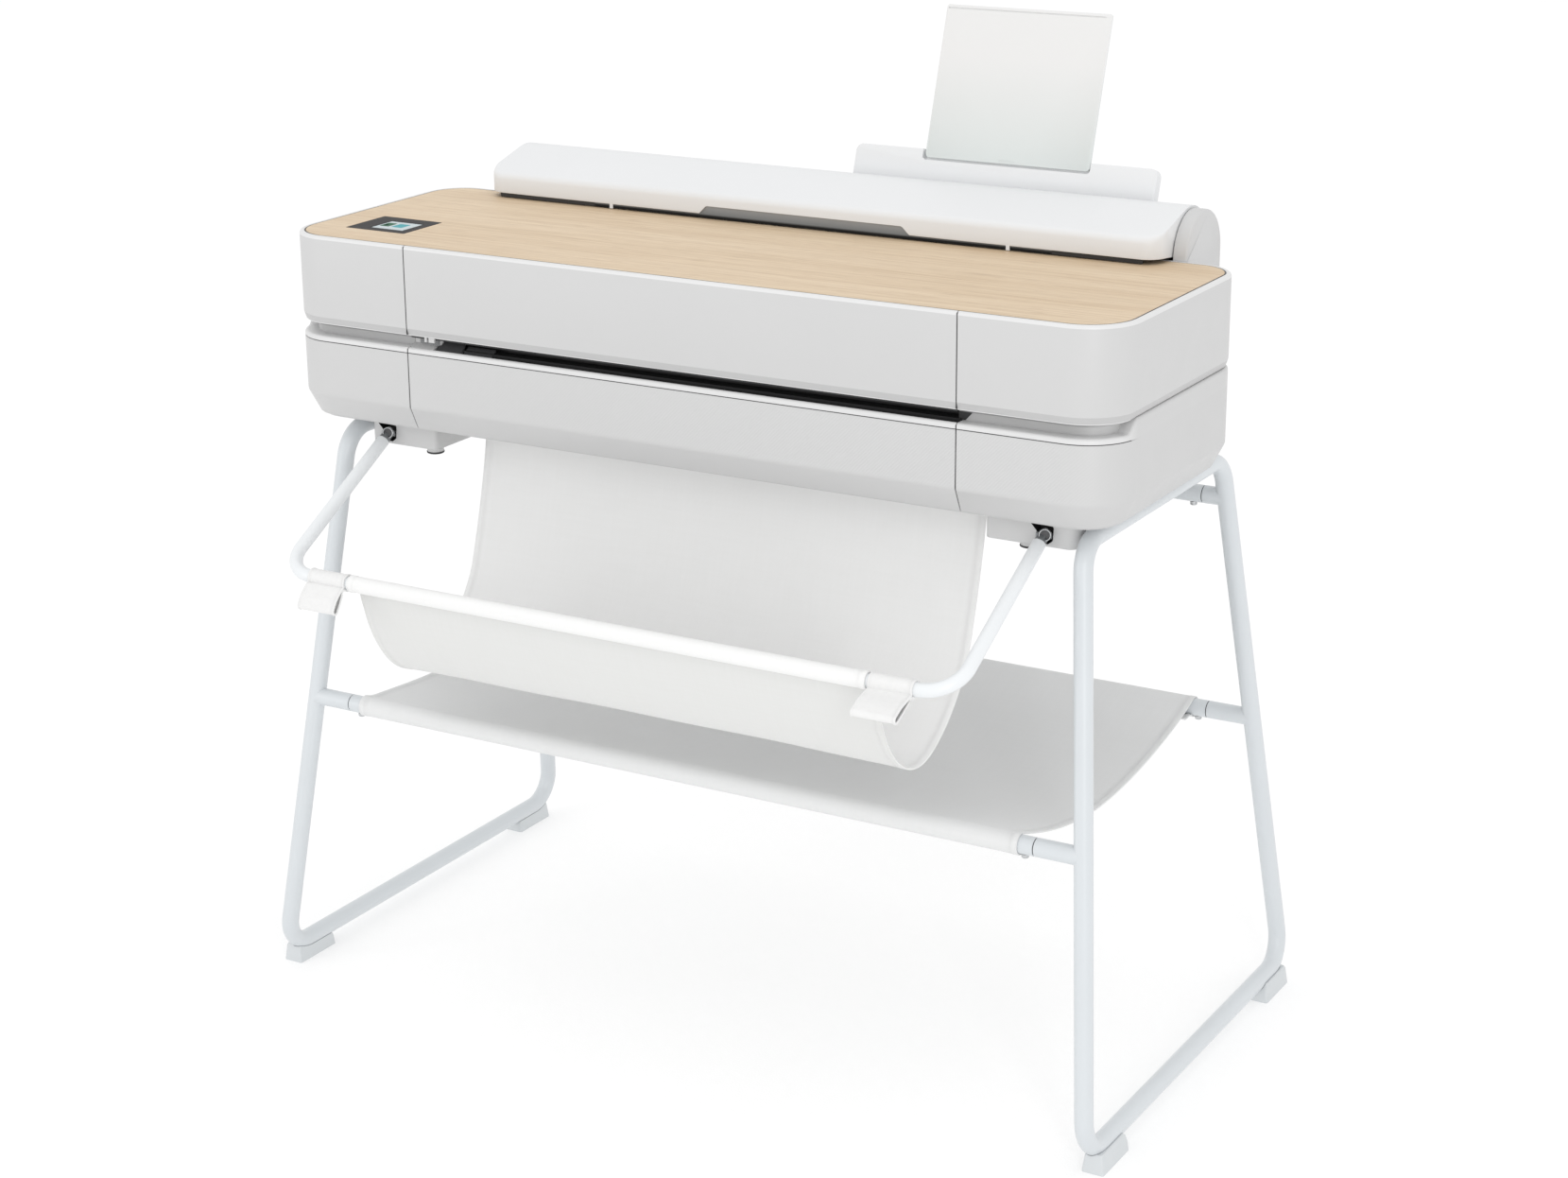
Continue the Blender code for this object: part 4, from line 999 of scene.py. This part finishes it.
def end_shell(side, profile):
    """An end of the casing, with eased edges where it meets the middle parts."""
    sections = []
    for place_at, close in end_stations():
        section = profile(close)
        places = [place_at(depth) for depth, _ in section]
        sections.append((section, [(side * x, y, z) for (x, y), (_, z) in zip(places, section)]))
    rings = [ring for _, ring in sections]
    before = draw_in(*sections[0], 1)
    after = draw_in(*sections[-1], -1)
    for end in (0, -1):
        rings[end] = [(x + side * SEAM_EASE, y, z) for x, y, z in rings[end]]
    return skin([before] + rings + [after])


def draw_in(section, ring, toward):
    """The ring with the points of its outer face moved in along Y."""
    return [(x, y + toward * SEAM_EASE * (depth < WALL * 0.6), z)
            for (depth, _), (x, y, z) in zip(section, ring)]


def eased_bar(outline, reach):
    """A bar between the seams, its front face eased at both ends."""
    face = min(y for y, _ in outline)
    rings = []
    inner = reach - SEAM_EASE
    for x, ease in ((-reach, SEAM_EASE), (-inner, 0.0), (inner, 0.0), (reach, SEAM_EASE)):
        rings.append([(x, y + ease * (y - face < WALL * 0.6), z) for y, z in outline])
    return skin(rings)


def paint_highlight_band(obj, low, high):
    """Painted highlight: gives the faces of a shell between two heights its second, brighter look."""
    for face in obj.data.polygons:
        if low <= face.center.z <= high:
            face.material_index = 1


def casing_depth(x, y):
    """How far a point lies inside the casing's plan outline."""
    across, ahead = BODY_HALF - abs(x), y - BODY_FRONT
    if across < CORNER_FRONT and ahead < CORNER_FRONT:
        return CORNER_FRONT - math.hypot(CORNER_FRONT - across, CORNER_FRONT - ahead)
    return min(across, ahead, BODY_REAR - y)


def shade_groove(obj):
    """Painted shade: gives the walls inside the groove between the two casings their darker look."""
    for face in obj.data.polygons:
        if 0.7230 < face.center.z < 0.7430 and casing_depth(face.center.x, face.center.y) > 0.0040:
            if face.normal.z < 0.5:
                face.material_index = 2


def make_casing():
    for side, word in ((-1, "left"), (1, "right")):
        upper = piece("upper_end_%s_shell" % word, end_shell(side, upper_profile), "white_plastic",
                      "upper_end_" + word, extra=("rim_highlight_plastic", "groove_shade_plastic", "brow_shade_plastic"))
        finish_upper(upper, 3)
        shade_groove(upper)
        lower = piece("base_end_%s_shell" % word, end_shell(side, lower_profile), "base_plastic",
                      "base_end_" + word, extra=("lip_highlight_plastic", "groove_shade_plastic"))
        # painted highlight along the lip's crest
        paint_highlight_band(lower, Z_TRIM + TRIM_HALF, 0.7383)
        shade_groove(lower)
    reach = SEAM - GAP
    lower = lower_profile(0.0)
    front = lower[:lower.index((0.0150, Z_LIP))]
    front += [(0.0040, Z_LIP - 0.0003), (0.0044, Z_LIP - 0.0020), (0.0044, Z_LIP - 0.006),
              (WALL, Z_LIP - 0.007), (WALL, Z_KINK + 0.0011), (0.0148, Z_PAN + 0.003),
              (0.0170, Z_PAN + 0.003)]
    base = piece("base_front_shell", eased_bar(from_front(front), reach), "base_plastic", "base_front",
                 extra=("lip_highlight_plastic",))
    # painted highlight along the lip's crest
    paint_highlight_band(base, Z_TRIM + TRIM_HALF, Z_LIP + 0.0001)
    window = from_front(upper_profile(0.0)[:-3] + [(0.0070, Z_UPPER + 0.0012)])
    cover = piece("front_window_shell", eased_bar(window, reach), "white_plastic", "front_window",
                  extra=("rim_highlight_plastic", "brow_shade_plastic"))
    finish_upper(cover, 2)
    inner = reach - 0.0010
    # painted shade: a black sheet behind the window's lower edge, in the slot
    skirt = box((-inner, BODY_FRONT + 0.0062, 0.7350), (inner, BODY_FRONT + 0.0070, Z_UPPER + 0.0030))
    piece("front_window_shade_skirt", skirt, "black_plastic", body=BODY_OF["front_window"])
    make_seam_strips()
    make_trim_line()
    make_deck()
    make_rear(reach)
    make_slot_guides()


def from_front(section):
    """A section's (depth, height) points as (y, z) behind the casing's front."""
    return [(BODY_FRONT + depth, z) for depth, z in section]


def finish_upper(obj, brow):
    """Painted highlights on the rim and lower edge of an upper shell, and painted shade on its brow."""
    paint_highlight_band(obj, Z_RIM - 0.0040, Z_RIM)
    paint_highlight_band(obj, Z_UPPER, Z_UPPER + 0.0009)
    for face in obj.data.polygons:
        low, centre = Z_UPPER + 0.0009, face.center
        if low < centre.z < low + 0.0075 and casing_depth(centre.x, centre.y) < 0.0030:
            face.material_index = brow


def deck_outline(inset, steps=20):
    return rounded_rect((-BODY_HALF + inset, BODY_FRONT + inset), (BODY_HALF - inset, BODY_REAR - inset),
                        (CORNER_FRONT - inset,) * 2 + (CORNER_REAR - inset,) * 2, steps)


def make_deck():
    low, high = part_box("wood_top")
    deck = piece("wood_top_veneer", stack([(deck_outline(RIM + 0.0012), low[2]),
                                           (deck_outline(RIM + 0.0012), high[2] - 0.0004),
                                           (deck_outline(RIM + 0.0015), high[2])]), "oak", "wood_top")
    margin = 0.0003
    hole = rounded_rect((DISPLAY_LOW[0] - margin, DISPLAY_LOW[1] - margin),
                        (DISPLAY_HIGH[0] + margin, DISPLAY_HIGH[1] + margin), 0.0012, 4)
    cut(deck, prism(hole, "Z", low[2] - 0.01, high[2] + 0.01))
    make_deck_shade_ring(low[2], high[2] - 0.0001)
    make_display()


def make_deck_shade_ring(low, high):
    """Painted shade: a dark ring that shows as a fine line between the wood and the casing's rim, where the
    gap is in shade.
    """
    sections = [[(*a, low), (*a, high), (*b, high), (*b, low)]
                for a, b in zip(deck_outline(RIM + 0.0001), deck_outline(RIM + 0.0011))]
    piece("deck_shade_ring", skin(sections, closed=True), "black_plastic")


def make_display():
    """A flush glass panel with a lit screen that shows a few plain tiles."""
    x0, y0, z0 = DISPLAY_LOW
    x1, y1, z1 = DISPLAY_HIGH
    levels = [(rounded_rect((x0 + inset, y0 + inset), (x1 - inset, y1 - inset), 0.0010, 4), z)
              for inset, z in ((0.0, z0), (0.0, z1 - 0.0004), (0.0004, z1))]
    glass = piece("display_glass", stack(levels), "screen_glass", "display")
    sx0, sx1, sy0, sy1 = -0.4110, -0.3690, Y0 - 0.1460, Y0 - 0.1080
    cut(glass, box((sx0, sy0, z1 - 0.0008), (sx1, sy1, z1 + 0.001)))
    screen = box((sx0 + 0.0001, sy0 + 0.0001, z1 - 0.0008), (sx1 - 0.0001, sy1 - 0.0001, z1 - 0.0004))
    piece("display_screen", screen, "screen_white")
    width, height = sx1 - sx0, sy1 - sy0
    tiles = (("green", 0.06, 0.34, 0.33, 0.78), ("teal", 0.42, 0.34, 0.74, 0.78),
             ("green", 0.12, 0.42, 0.20, 0.60))
    for number, (tint, a, b, c, d) in enumerate(tiles):
        tile = rounded_rect((sx0 + a * width, sy0 + b * height), (sx0 + c * width, sy0 + d * height),
                            0.0008, 4)
        piece("display_tile_%d" % number, prism(tile, "Z", z1 - 0.0004, z1 - 0.0003), "screen_" + tint)


def make_rear(reach):
    """Rear wall with vent slots and the inlet's opening, and the pan under the casing with its screws."""
    section = [(0, Z_PAN)] + arc((0.0034, Z_RIM - 0.0034), 0.0034, 180, 98, 7)
    section += [(RIM - 0.0004, Z_RIM - 0.0004), (RIM, 0.8262), (WALL, 0.8240), (WALL, Z_PAN)]
    wall = piece("rear_cover_wall", prism([(BODY_REAR - d, z) for d, z in section], "X", -reach, reach),
                 "white_plastic", "rear_cover")
    inlet_low, inlet_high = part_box("power_inlet")
    holes = [box((inlet_low[0] - 0.0003, BODY_REAR - 0.01, inlet_low[2] - 0.0003),
                 (inlet_high[0] + 0.0003, BODY_REAR + 0.01, inlet_high[2] + 0.0003))]
    for k in range(9):
        x = -0.290 + 0.012 * k
        slot = rounded_rect((x - 0.0022, 0.6450), (x + 0.0022, 0.6700), 0.0022, 5)
        holes.append(prism(slot, "Y", BODY_REAR - 0.01, BODY_REAR + 0.01))
    cut(wall, *holes)
    soften(wall, 0.0005)
    low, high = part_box("bottom_pan")
    pan = stack([(deck_outline(0.0170 + GAP + extra, 8), z) for extra, z in
                 ((0.0008, low[2]), (0.0, low[2] + 0.0008), (0.0, high[2]))])
    piece("bottom_pan_shell", pan, "white_plastic", "bottom_pan")
    heads = [screw_head((x, Y0 + y, low[2] + 0.0001), (0, 0, -1), 0.0042, 0.0014)
             for x in (-0.43, -0.15, 0.15, 0.43) for y in (-0.172, 0.055) if abs(x) < 0.3 or y > 0]
    piece("bottom_pan_screws", joined(*heads), "steel")
    make_inlet()


def make_inlet():
    low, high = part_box("power_inlet")
    outline = rounded_rect((low[0], low[2]), (high[0], high[2]), 0.0020, 5)
    block = piece("power_inlet_block", prism(outline, "Y", low[1], high[1]), "black_plastic", "power_inlet")
    x0, x1, z0, z1 = low[0] + 0.003, high[0] - 0.003, low[2] + 0.004, high[2] - 0.004
    throat = [(x0, z0), (x1, z0), (x1, z1 - 0.004), (x1 - 0.004, z1), (x0 + 0.004, z1), (x0, z1 - 0.004)]
    cut(block, prism(throat, "Y", low[1] + 0.006, high[1] + 0.02))
    x, z = (low[0] + high[0]) / 2, (low[2] + high[2]) / 2
    pins = [box((x + dx - 0.0012, low[1] + 0.005, z + dz - 0.0025),
                (x + dx + 0.0012, high[1] - 0.0035, z + dz + 0.0025))
            for dx, dz in ((-0.0055, -0.0012), (0.0, 0.0016), (0.0055, -0.0012))]
    piece("power_inlet_pins", joined(*pins), "steel", bevel=0.0004)


def make_seam_strips():
    """Painted shade: dark strips in the two upright gaps of the front, set back from its face."""
    near, far, half = 0.0004, 0.0024, GAP - 0.0001
    lower = [(near, Z_LIP - 0.0020), (near, Z_KINK + 0.0010), (0.0132, Z_PAN + 0.0010),
             (0.0148, Z_PAN + 0.0010), (far, Z_KINK + 0.0010), (far, Z_LIP - 0.0020)]
    upper = [(near, Z_UPPER + 0.0010), (near, Z_RIM - 0.0012), (far, Z_RIM - 0.0012), (far, Z_UPPER + 0.0010)]
    strips = [prism(from_front(outline), "X", x - half, x + half)
              for x in (-SEAM, SEAM) for outline in (lower, upper)]
    piece("casing_seam_shade_strips", joined(*strips), "black_plastic")


def make_trim_line():
    """The dark cord set in the lower casing's groove, sinking away where the groove runs out on the sides."""
    front = [station for station in end_stations() if station[1] < 1.0]
    rings = []
    for side, (place_at, close) in [(-1, s) for s in front[::-1]] + [(1, s) for s in front]:
        ring = []
        for depth, z in ((0.0004, -1), (0.0004, 1), (0.0018, 1), (0.0018, -1)):
            x, y = place_at(depth + 0.0016 * close)
            ring.append((side * x, y, Z_TRIM + z * TRIM_HALF * 1.1))
        rings.append(ring)
    piece("trim_cord", skin(rings), "dark_grey")


def slot_bar(name, look, x_low, x_high, slant, near, far):
    """A bar in the paper slot, its near and far edges as (depth, bottom, top above the lip).

    The slant moves the top of its right end along X.
    """
    outline = from_front([(near[0], Z_LIP + near[1]), (far[0], Z_LIP + far[1]),
                          (far[0], Z_LIP + far[2]), (near[0], Z_LIP + near[2])])
    bottom, top = outline[0][1], outline[2][1]
    piece(name, skin([[(x_low, y, z) for y, z in outline],
                      [(x_high + slant * (z - bottom) / (top - bottom), y, z) for y, z in outline]]), look)


def make_slot_guides():
    """What shows in the paper slot: its left guide and ramps, two small fingers, the black bed, and black
    pieces that stand in for the shade behind them.
    """
    for name, look, ends, slant, near, far in (
            ("end_wall", "white_plastic", (-SEAM, -0.2900), 0.0080,
             (0.0150, -0.0035, 0.0101), (0.0180, -0.0035, 0.0101)),
            ("end_floor", "white_plastic", (-SEAM, -0.2900), 0.0,
             (0.0046, -0.0040, -0.0010), (0.0160, -0.0010, 0.0035)),
            ("ramp", "dark_grey", (-0.2890, -0.2545), -0.0070,
             (0.0060, -0.0050, -0.0030), (0.0260, 0.0081, 0.0101)),
            ("step", "dark_grey", (-0.2545, -0.2180), -0.0030,
             (0.0060, -0.0060, -0.0040), (0.0200, 0.0021, 0.0041))):
        slot_bar("slot_" + name, look, *ends, slant, near, far)
    edge = BODY_FRONT + 0.0146
    low, high = Z_LIP - 0.002, Z_UPPER + 0.0005
    corner = [(SEAM - 0.004, low), (SEAM + 0.0010, low), (SEAM + 0.0150, high), (SEAM - 0.004, high)]
    piece("slot_end_shade", prism(corner, "Y", edge, edge + 0.0003), "black_plastic")
    fingers = [box((x - half, BODY_FRONT + 0.0042, Z_UPPER - 0.0055),
                   (x + half, BODY_FRONT + 0.0066, Z_UPPER - 0.0006))
               for x, half in ((-0.2980, 0.0014), (-0.2905, 0.0036))]
    piece("slot_fingers", joined(*fingers), "white_plastic", body=BODY_OF["front_window"])
    # painted shade: a black curtain at the back of the slot
    end, back = SEAM - 0.0030, BODY_FRONT + 0.0290
    piece("slot_shade_curtain", box((-end, back, 0.7200), (end, back + 0.0010, 0.7500)), "black_plastic")
    bed = box((-0.2550, BODY_FRONT + 0.0050, Z_LIP - 0.0080), (end, back, Z_LIP - 0.0070))
    piece("slot_bed", bed, "black_plastic")


# ---------------------------------------------------------------- roll bay
def end_outline(side, inset, foot, steps=40):
    """An end cap's section, stepped behind the casing: a D on the right, low with a lug on the left."""
    step, radius = BODY_REAR + GAP, ARCH_CAP - inset
    if side > 0:
        top = arc((ARCH_Y, ARCH_Z), radius, 0, 180, steps)
        top += [(ARCH_Y - radius, Z_RIM + GAP), (step, Z_RIM + GAP)]
    else:
        level, lug = LOW_CAP - inset, 0.0075 - inset / 2
        top = arc((ARCH_Y + radius - 0.012, level - 0.012), 0.012, 0, 90, 10)
        top += [(ARCH_Y + lug, level)] + arc((ARCH_Y, ARCH_Z), lug, 0, 180, 20)
        top += [(ARCH_Y - lug, level), (step, level)]
    return top + [(step, foot), (ARCH_Y + radius, foot)]


def make_roll_bay():
    for side, word in ((-1, "left"), (1, "right")):
        node = "end_cap_" + word
        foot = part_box(node)[0][2]
        rings = [[(side * x, y, z) for y, z in end_outline(side, inset, foot + inset)] for x, inset in
                 ((0.4055, 0.0), (0.4175, 0.0), (0.4187, 0.0003), (0.4195, 0.0009), (0.4200, 0.0019))]
        cap = piece(node + "_shell", skin(rings), "white_plastic", node)
        cut(cap, turned([(side * 0.3990, 0.0093), (side * 0.4130, 0.0093)], "X", (SPINDLE_Y, SPINDLE_Z), 32))
    make_housing()
    make_spindle()


def make_housing():
    """The trough behind the casing, with ribs along its rear."""
    front, rear, floor = BODY_REAR + 0.0007, Y0 + 0.1885, 0.678
    front_round, rear_round = (front + 0.012, floor + 0.012), (rear - 0.016, floor + 0.016)
    t = 0.0024
    top = SKIRT_BOTTOM - 0.0010
    outer = [(front, 0.8300)] + arc(front_round, 0.012, 180, 270, 8) + arc(rear_round, 0.016, 270, 360, 10)
    inner = arc(rear_round, 0.016 - t, 360, 270, 10) + arc(front_round, 0.012 - t, 270, 180, 8)
    section = outer + [(rear, top), (rear - t, top)] + inner + [(front + t, 0.8300)]
    shell = prism(section, "X", -0.4050, 0.4050)
    piece("roll_housing_shell", shell, "white_plastic", "roll_housing", bevel=0.0005)
    heights = [0.705 + 0.020 * k for k in range(5)]
    ribs = [box((-0.36, rear - 0.0002, z), (0.36, rear + 0.0010, z + 0.0030)) for z in heights]
    piece("roll_housing_ribs", joined(*ribs), "white_plastic", bevel=0.0006)


def make_spindle():
    half = [(0.3080, 0.0105), (0.3080, 0.0210), (0.3090, 0.0220), (0.3190, 0.0220), (0.3200, 0.0210),
            (0.3200, 0.0088), (0.4102, 0.0088), (0.4110, 0.0080)]
    profile = [(-x, r) for x, r in half[::-1]] + half
    piece("roll_spindle_rod", turned(profile, "X", (SPINDLE_Y, SPINDLE_Z)), "black_plastic", "roll_spindle")


# ---------------------------------------------------------------- roll cover, fence and sheet support
def cover_section(inset, back, low, steps=30):
    """Section of the roll cover: lip, sloped lid and the round of its rear. back moves the lip rearwards."""
    radius = ARCH_COVER - inset
    touch = 90 + math.degrees(LID_SLOPE)
    y_touch = ARCH_Y + radius * math.cos(math.radians(touch))
    z_touch = ARCH_Z + radius * math.sin(math.radians(touch))
    lip = LIP_Y + inset + back
    ease = max(0.0006, 0.0066 - inset)
    z_corner = z_touch - (y_touch - lip) * math.tan(LID_SLOPE)
    bottom = low + (0.0022 if inset == 0 else 0.0)
    shape = [(lip + 0.0016, low), (lip + 0.0005, low + 0.0005), (lip, bottom)] if inset == 0 else [(lip, low)]
    slope = Vector((math.cos(LID_SLOPE), math.sin(LID_SLOPE)))
    corner = Vector((lip, z_corner))
    a, b = corner - Vector((0, ease)), corner + slope * ease
    shape += [tuple(p) for p in bezier(a, a.lerp(corner, 0.6), b.lerp(corner, 0.6), b, 7)]
    shape += arc((ARCH_Y, ARCH_Z), radius, touch, 0, steps)
    return shape


def cover_block(inset, half, low, tail):
    """The cover as a loft across its width, with rounded plan corners at the lip and eased side edges."""
    corner = 0.020 - inset
    rings = []
    for s in (-1, 1):
        turns = [math.radians(90 * k / 12) for k in range(13)]
        for a in (turns[::-1] if s < 0 else turns):
            x = s * (half - corner + corner * math.sin(a))
            section = cover_section(inset, corner * (1 - math.cos(a)), low) + tail
            rings.append([(x, y, z) for y, z in section])
    return skin(rings)


def make_roll_cover():
    back = ARCH_Y + ARCH_COVER
    ear = [(back, SKIRT_BOTTOM), (back - 0.0060, SKIRT_BOTTOM), (Y0 + 0.1520, 0.8262)]
    ear += arc((ARCH_Y, ARCH_Z), 0.0090, -40, -150, 10) + [(Y0 + 0.1180, 0.8320)]
    shell = cover_block(0.0, COVER_HALF, LIP_BOTTOM, ear)
    cover = piece("roll_cover_shell", shell, "bright_plastic", "roll_cover")
    below = [(back - 0.0025, 0.79), (LIP_Y + 0.03, 0.79)]
    rise = [(0.1270, -0.005), (0.1270, 0.0005), (0.1190, 0.0082), (0.1170, 0.0090)]
    notch = [(x, LIP_BOTTOM + up) for x, up in rise + [(-x, up) for x, up in rise[::-1]]]
    hollow = cover_block(0.0025, COVER_HALF - 0.0025, 0.79, below)
    cut(cover, hollow, prism(notch, "Y", LIP_Y - 0.01, LIP_Y + 0.01))
    soften(cover, 0.0007, 50)
    body = BODY_OF["roll_cover"]
    pads = [box((x - 0.0020, LIP_Y + 0.0004, 0.8322), (x + 0.0020, LIP_Y + 0.0016, 0.8385))
            for x in (-0.2395, 0.2395)]
    piece("roll_cover_rests", joined(*pads), "bright_plastic", body=body)

    # painted shade: dark strips just behind the lip stand in for the shade under the roll cover
    def behind_lip(x0, x1):
        return box((x0, LIP_Y + 0.0018, Z_RIM + 0.0008), (x1, LIP_Y + 0.0026, 0.8540))

    piece("roll_cover_lip_shade", behind_lip(-0.2620, 0.2880), "under_lip_shade_plastic", body=body)
    shades = joined(behind_lip(-0.3870, -0.2620), behind_lip(0.2880, 0.3870))
    piece("roll_cover_shades", shades, "black_plastic", body=body)


def tray_point(x, up, out):
    """A point on the leaning sheet fence: up along it and out of its front."""
    y = TRAY_HINGE[0] + up * math.sin(TRAY_LEAN) - out * math.cos(TRAY_LEAN)
    z = TRAY_HINGE[1] + up * math.cos(TRAY_LEAN) + out * math.sin(TRAY_LEAN)
    return x, y, z


def leaning_plate(low, high, radii, steps, levels=((0.0, 0.0), (0.0060, 0.0))):
    """Plate on the fence's slope; levels list how far out each ring stands and how far it is drawn in."""
    outline = rounded_rect(low, high, radii, steps)
    middle = ((low[0] + high[0]) / 2, (low[1] + high[1]) / 2)
    half = (high[0] - middle[0], high[1] - middle[1])
    return skin([[tray_point(*(m + (v - m) * (1 - inset / h) for v, m, h in zip(point, middle, half)), out)
                  for point in outline] for out, inset in levels])


def make_sheet_tray():
    x0, x1 = TRAY_X
    levels = ((-0.0080, 0.0008), (-0.0075, 0.0002), (-0.0068, 0.0), (0.0028, 0.0), (0.0036, 0.0003),
              (0.0040, 0.0010))
    fence = leaning_plate((x0, -0.0060), (x1, 0.0315), (0.0005, 0.0005, 0.008, 0.008), 10, levels)
    base = piece("tray_base_fence", fence, "bright_plastic", "tray_base")
    s0, s1 = SUPPORT_X
    middle = (s0 + s1) / 2
    pocket = leaning_plate((s0 - 0.0008, 0.0200), (s1 + 0.0008, 0.0500), (0.0008, 0.0040, 0.001, 0.001), 6)
    notch = leaning_plate((s0 - 0.0028, 0.0215), (s0 + 0.0010, 0.0500), 0.0004, 2,
                          ((-0.0030, 0.0), (0.006, 0.0)))
    cut(base, pocket, notch)
    levels = ((0.0010, 0.0004), (0.0013, 0.0), (0.0032, 0.0), (0.0036, 0.0005))
    plate = leaning_plate((s0, 0.0226), (s1, 0.1860), (0.005, 0.005, 0.003, 0.003), 8, levels)
    support = piece("sheet_support_plate", plate, "support_plastic", "sheet_support")
    cut(support, leaning_plate((s0 + 0.0020, 0.1815), (s1 - 0.0070, 0.1829), 0.0005, 4,
                               ((0.0027, 0.0), (0.0050, 0.0))))
    cut(support, leaning_plate((middle - 0.009, 0.0240), (middle + 0.009, 0.0262), 0.0010, 4,
                               ((0.0032, 0.0), (0.0050, 0.0))))


# ---------------------------------------------------------------- working parts that keep their CAD shape
def dress_cad_nodes():
    """Every CAD node that is still shown gets its full material."""
    for name, node in frame["nodes"].items():
        look = LOOKS[SLOT_OF[name]]
        for slot in node.material_slots:
            slot.material = look
        if not node.material_slots:
            node.data.materials.append(look)


# ---------------------------------------------------------------- floor, light and camera
def make_stage():
    """A pale sweep of floor, lit softly enough that the shadows stay faint."""
    size = 9.0
    bm = bmesh.new()
    corners = ((-size, -size), (size, -size), (size, size), (-size, size))
    bm.faces.new([bm.verts.new((x, y, 0.0)) for x, y in corners])
    floor = linked("floor", mesh_of("floor", bm))
    n = Nodes("floor_look")
    at = n.place()
    shade = n.dimmed(n.cloud(at, 1.5, 2.0, 0.985, 1.0), grey(0.60))
    look = n.finish(shade, 0.9, n.bump(n.noise(at, 400.0), 0.0002), Specular_IOR_Level=0.0,
                    Emission_Color=(1.0, 1.0, 1.0, 1.0), Emission_Strength=0.42)
    floor.data.materials.append(look)


def area_light(name, place, size, power):
    """A soft white panel that faces the middle of the plotter."""
    data = bpy.data.lights.new(name, "AREA")
    data.shape = "RECTANGLE"
    data.size, data.size_y = size
    data.energy = power
    lamp = linked(name, data)
    lamp.location = place
    lamp.rotation_mode = "QUATERNION"
    lamp.rotation_quaternion = (Vector((0.0, Y0, 0.7)) - Vector(place)).to_track_quat("-Z", "Y")


def make_lights():
    world = bpy.data.worlds.new("studio")
    world.use_nodes = True
    background = world.node_tree.nodes["Background"]
    background.inputs["Color"].default_value = (1.0, 1.0, 1.0, 1.0)
    background.inputs["Strength"].default_value = 1.0
    bpy.context.scene.world = world
    area_light("overhead", (0.1, Y0 - 0.4, 3.0), (3.0, 2.4), 6.0)
    area_light("left_strip", (-2.2, Y0 - 2.7, 1.3), (0.7, 2.2), 10.0)
    area_light("right_strip", (2.35, Y0 - 2.75, 1.3), (0.6, 2.2), 21.0)


def make_camera():
    """The photograph's viewpoint, level of tilt and field, with no shift."""
    yaw, pitch, roll = 0.5269336, -0.3171870, -0.0080045
    forward = Vector((-math.sin(yaw) * math.cos(pitch), math.cos(yaw) * math.cos(pitch), math.sin(pitch)))
    right = Vector((math.cos(yaw), math.sin(yaw), 0.0))
    up = right.cross(forward)
    across = math.cos(roll) * right + math.sin(roll) * up
    upright = -math.sin(roll) * right + math.cos(roll) * up
    data = bpy.data.cameras.new("camera")
    data.sensor_width = 36.0
    data.lens = 68.147
    camera = linked("camera", data)
    turn = Matrix((across, upright, -forward)).transposed()
    camera.matrix_world = Matrix.Translation((1.5309785, Y0 - 2.6171477, 1.4456038)) @ turn.to_4x4()
    bpy.context.scene.camera = camera
    bpy.context.scene.view_settings.view_transform = "Standard"


make_camera()
make_stage()
make_lights()
make_stand()
make_docks()
make_bin_frame()
make_bin_cloth()
make_straps()
make_shelf()
make_casing()
make_roll_bay()
make_roll_cover()
make_sheet_tray()
dress_cad_nodes()
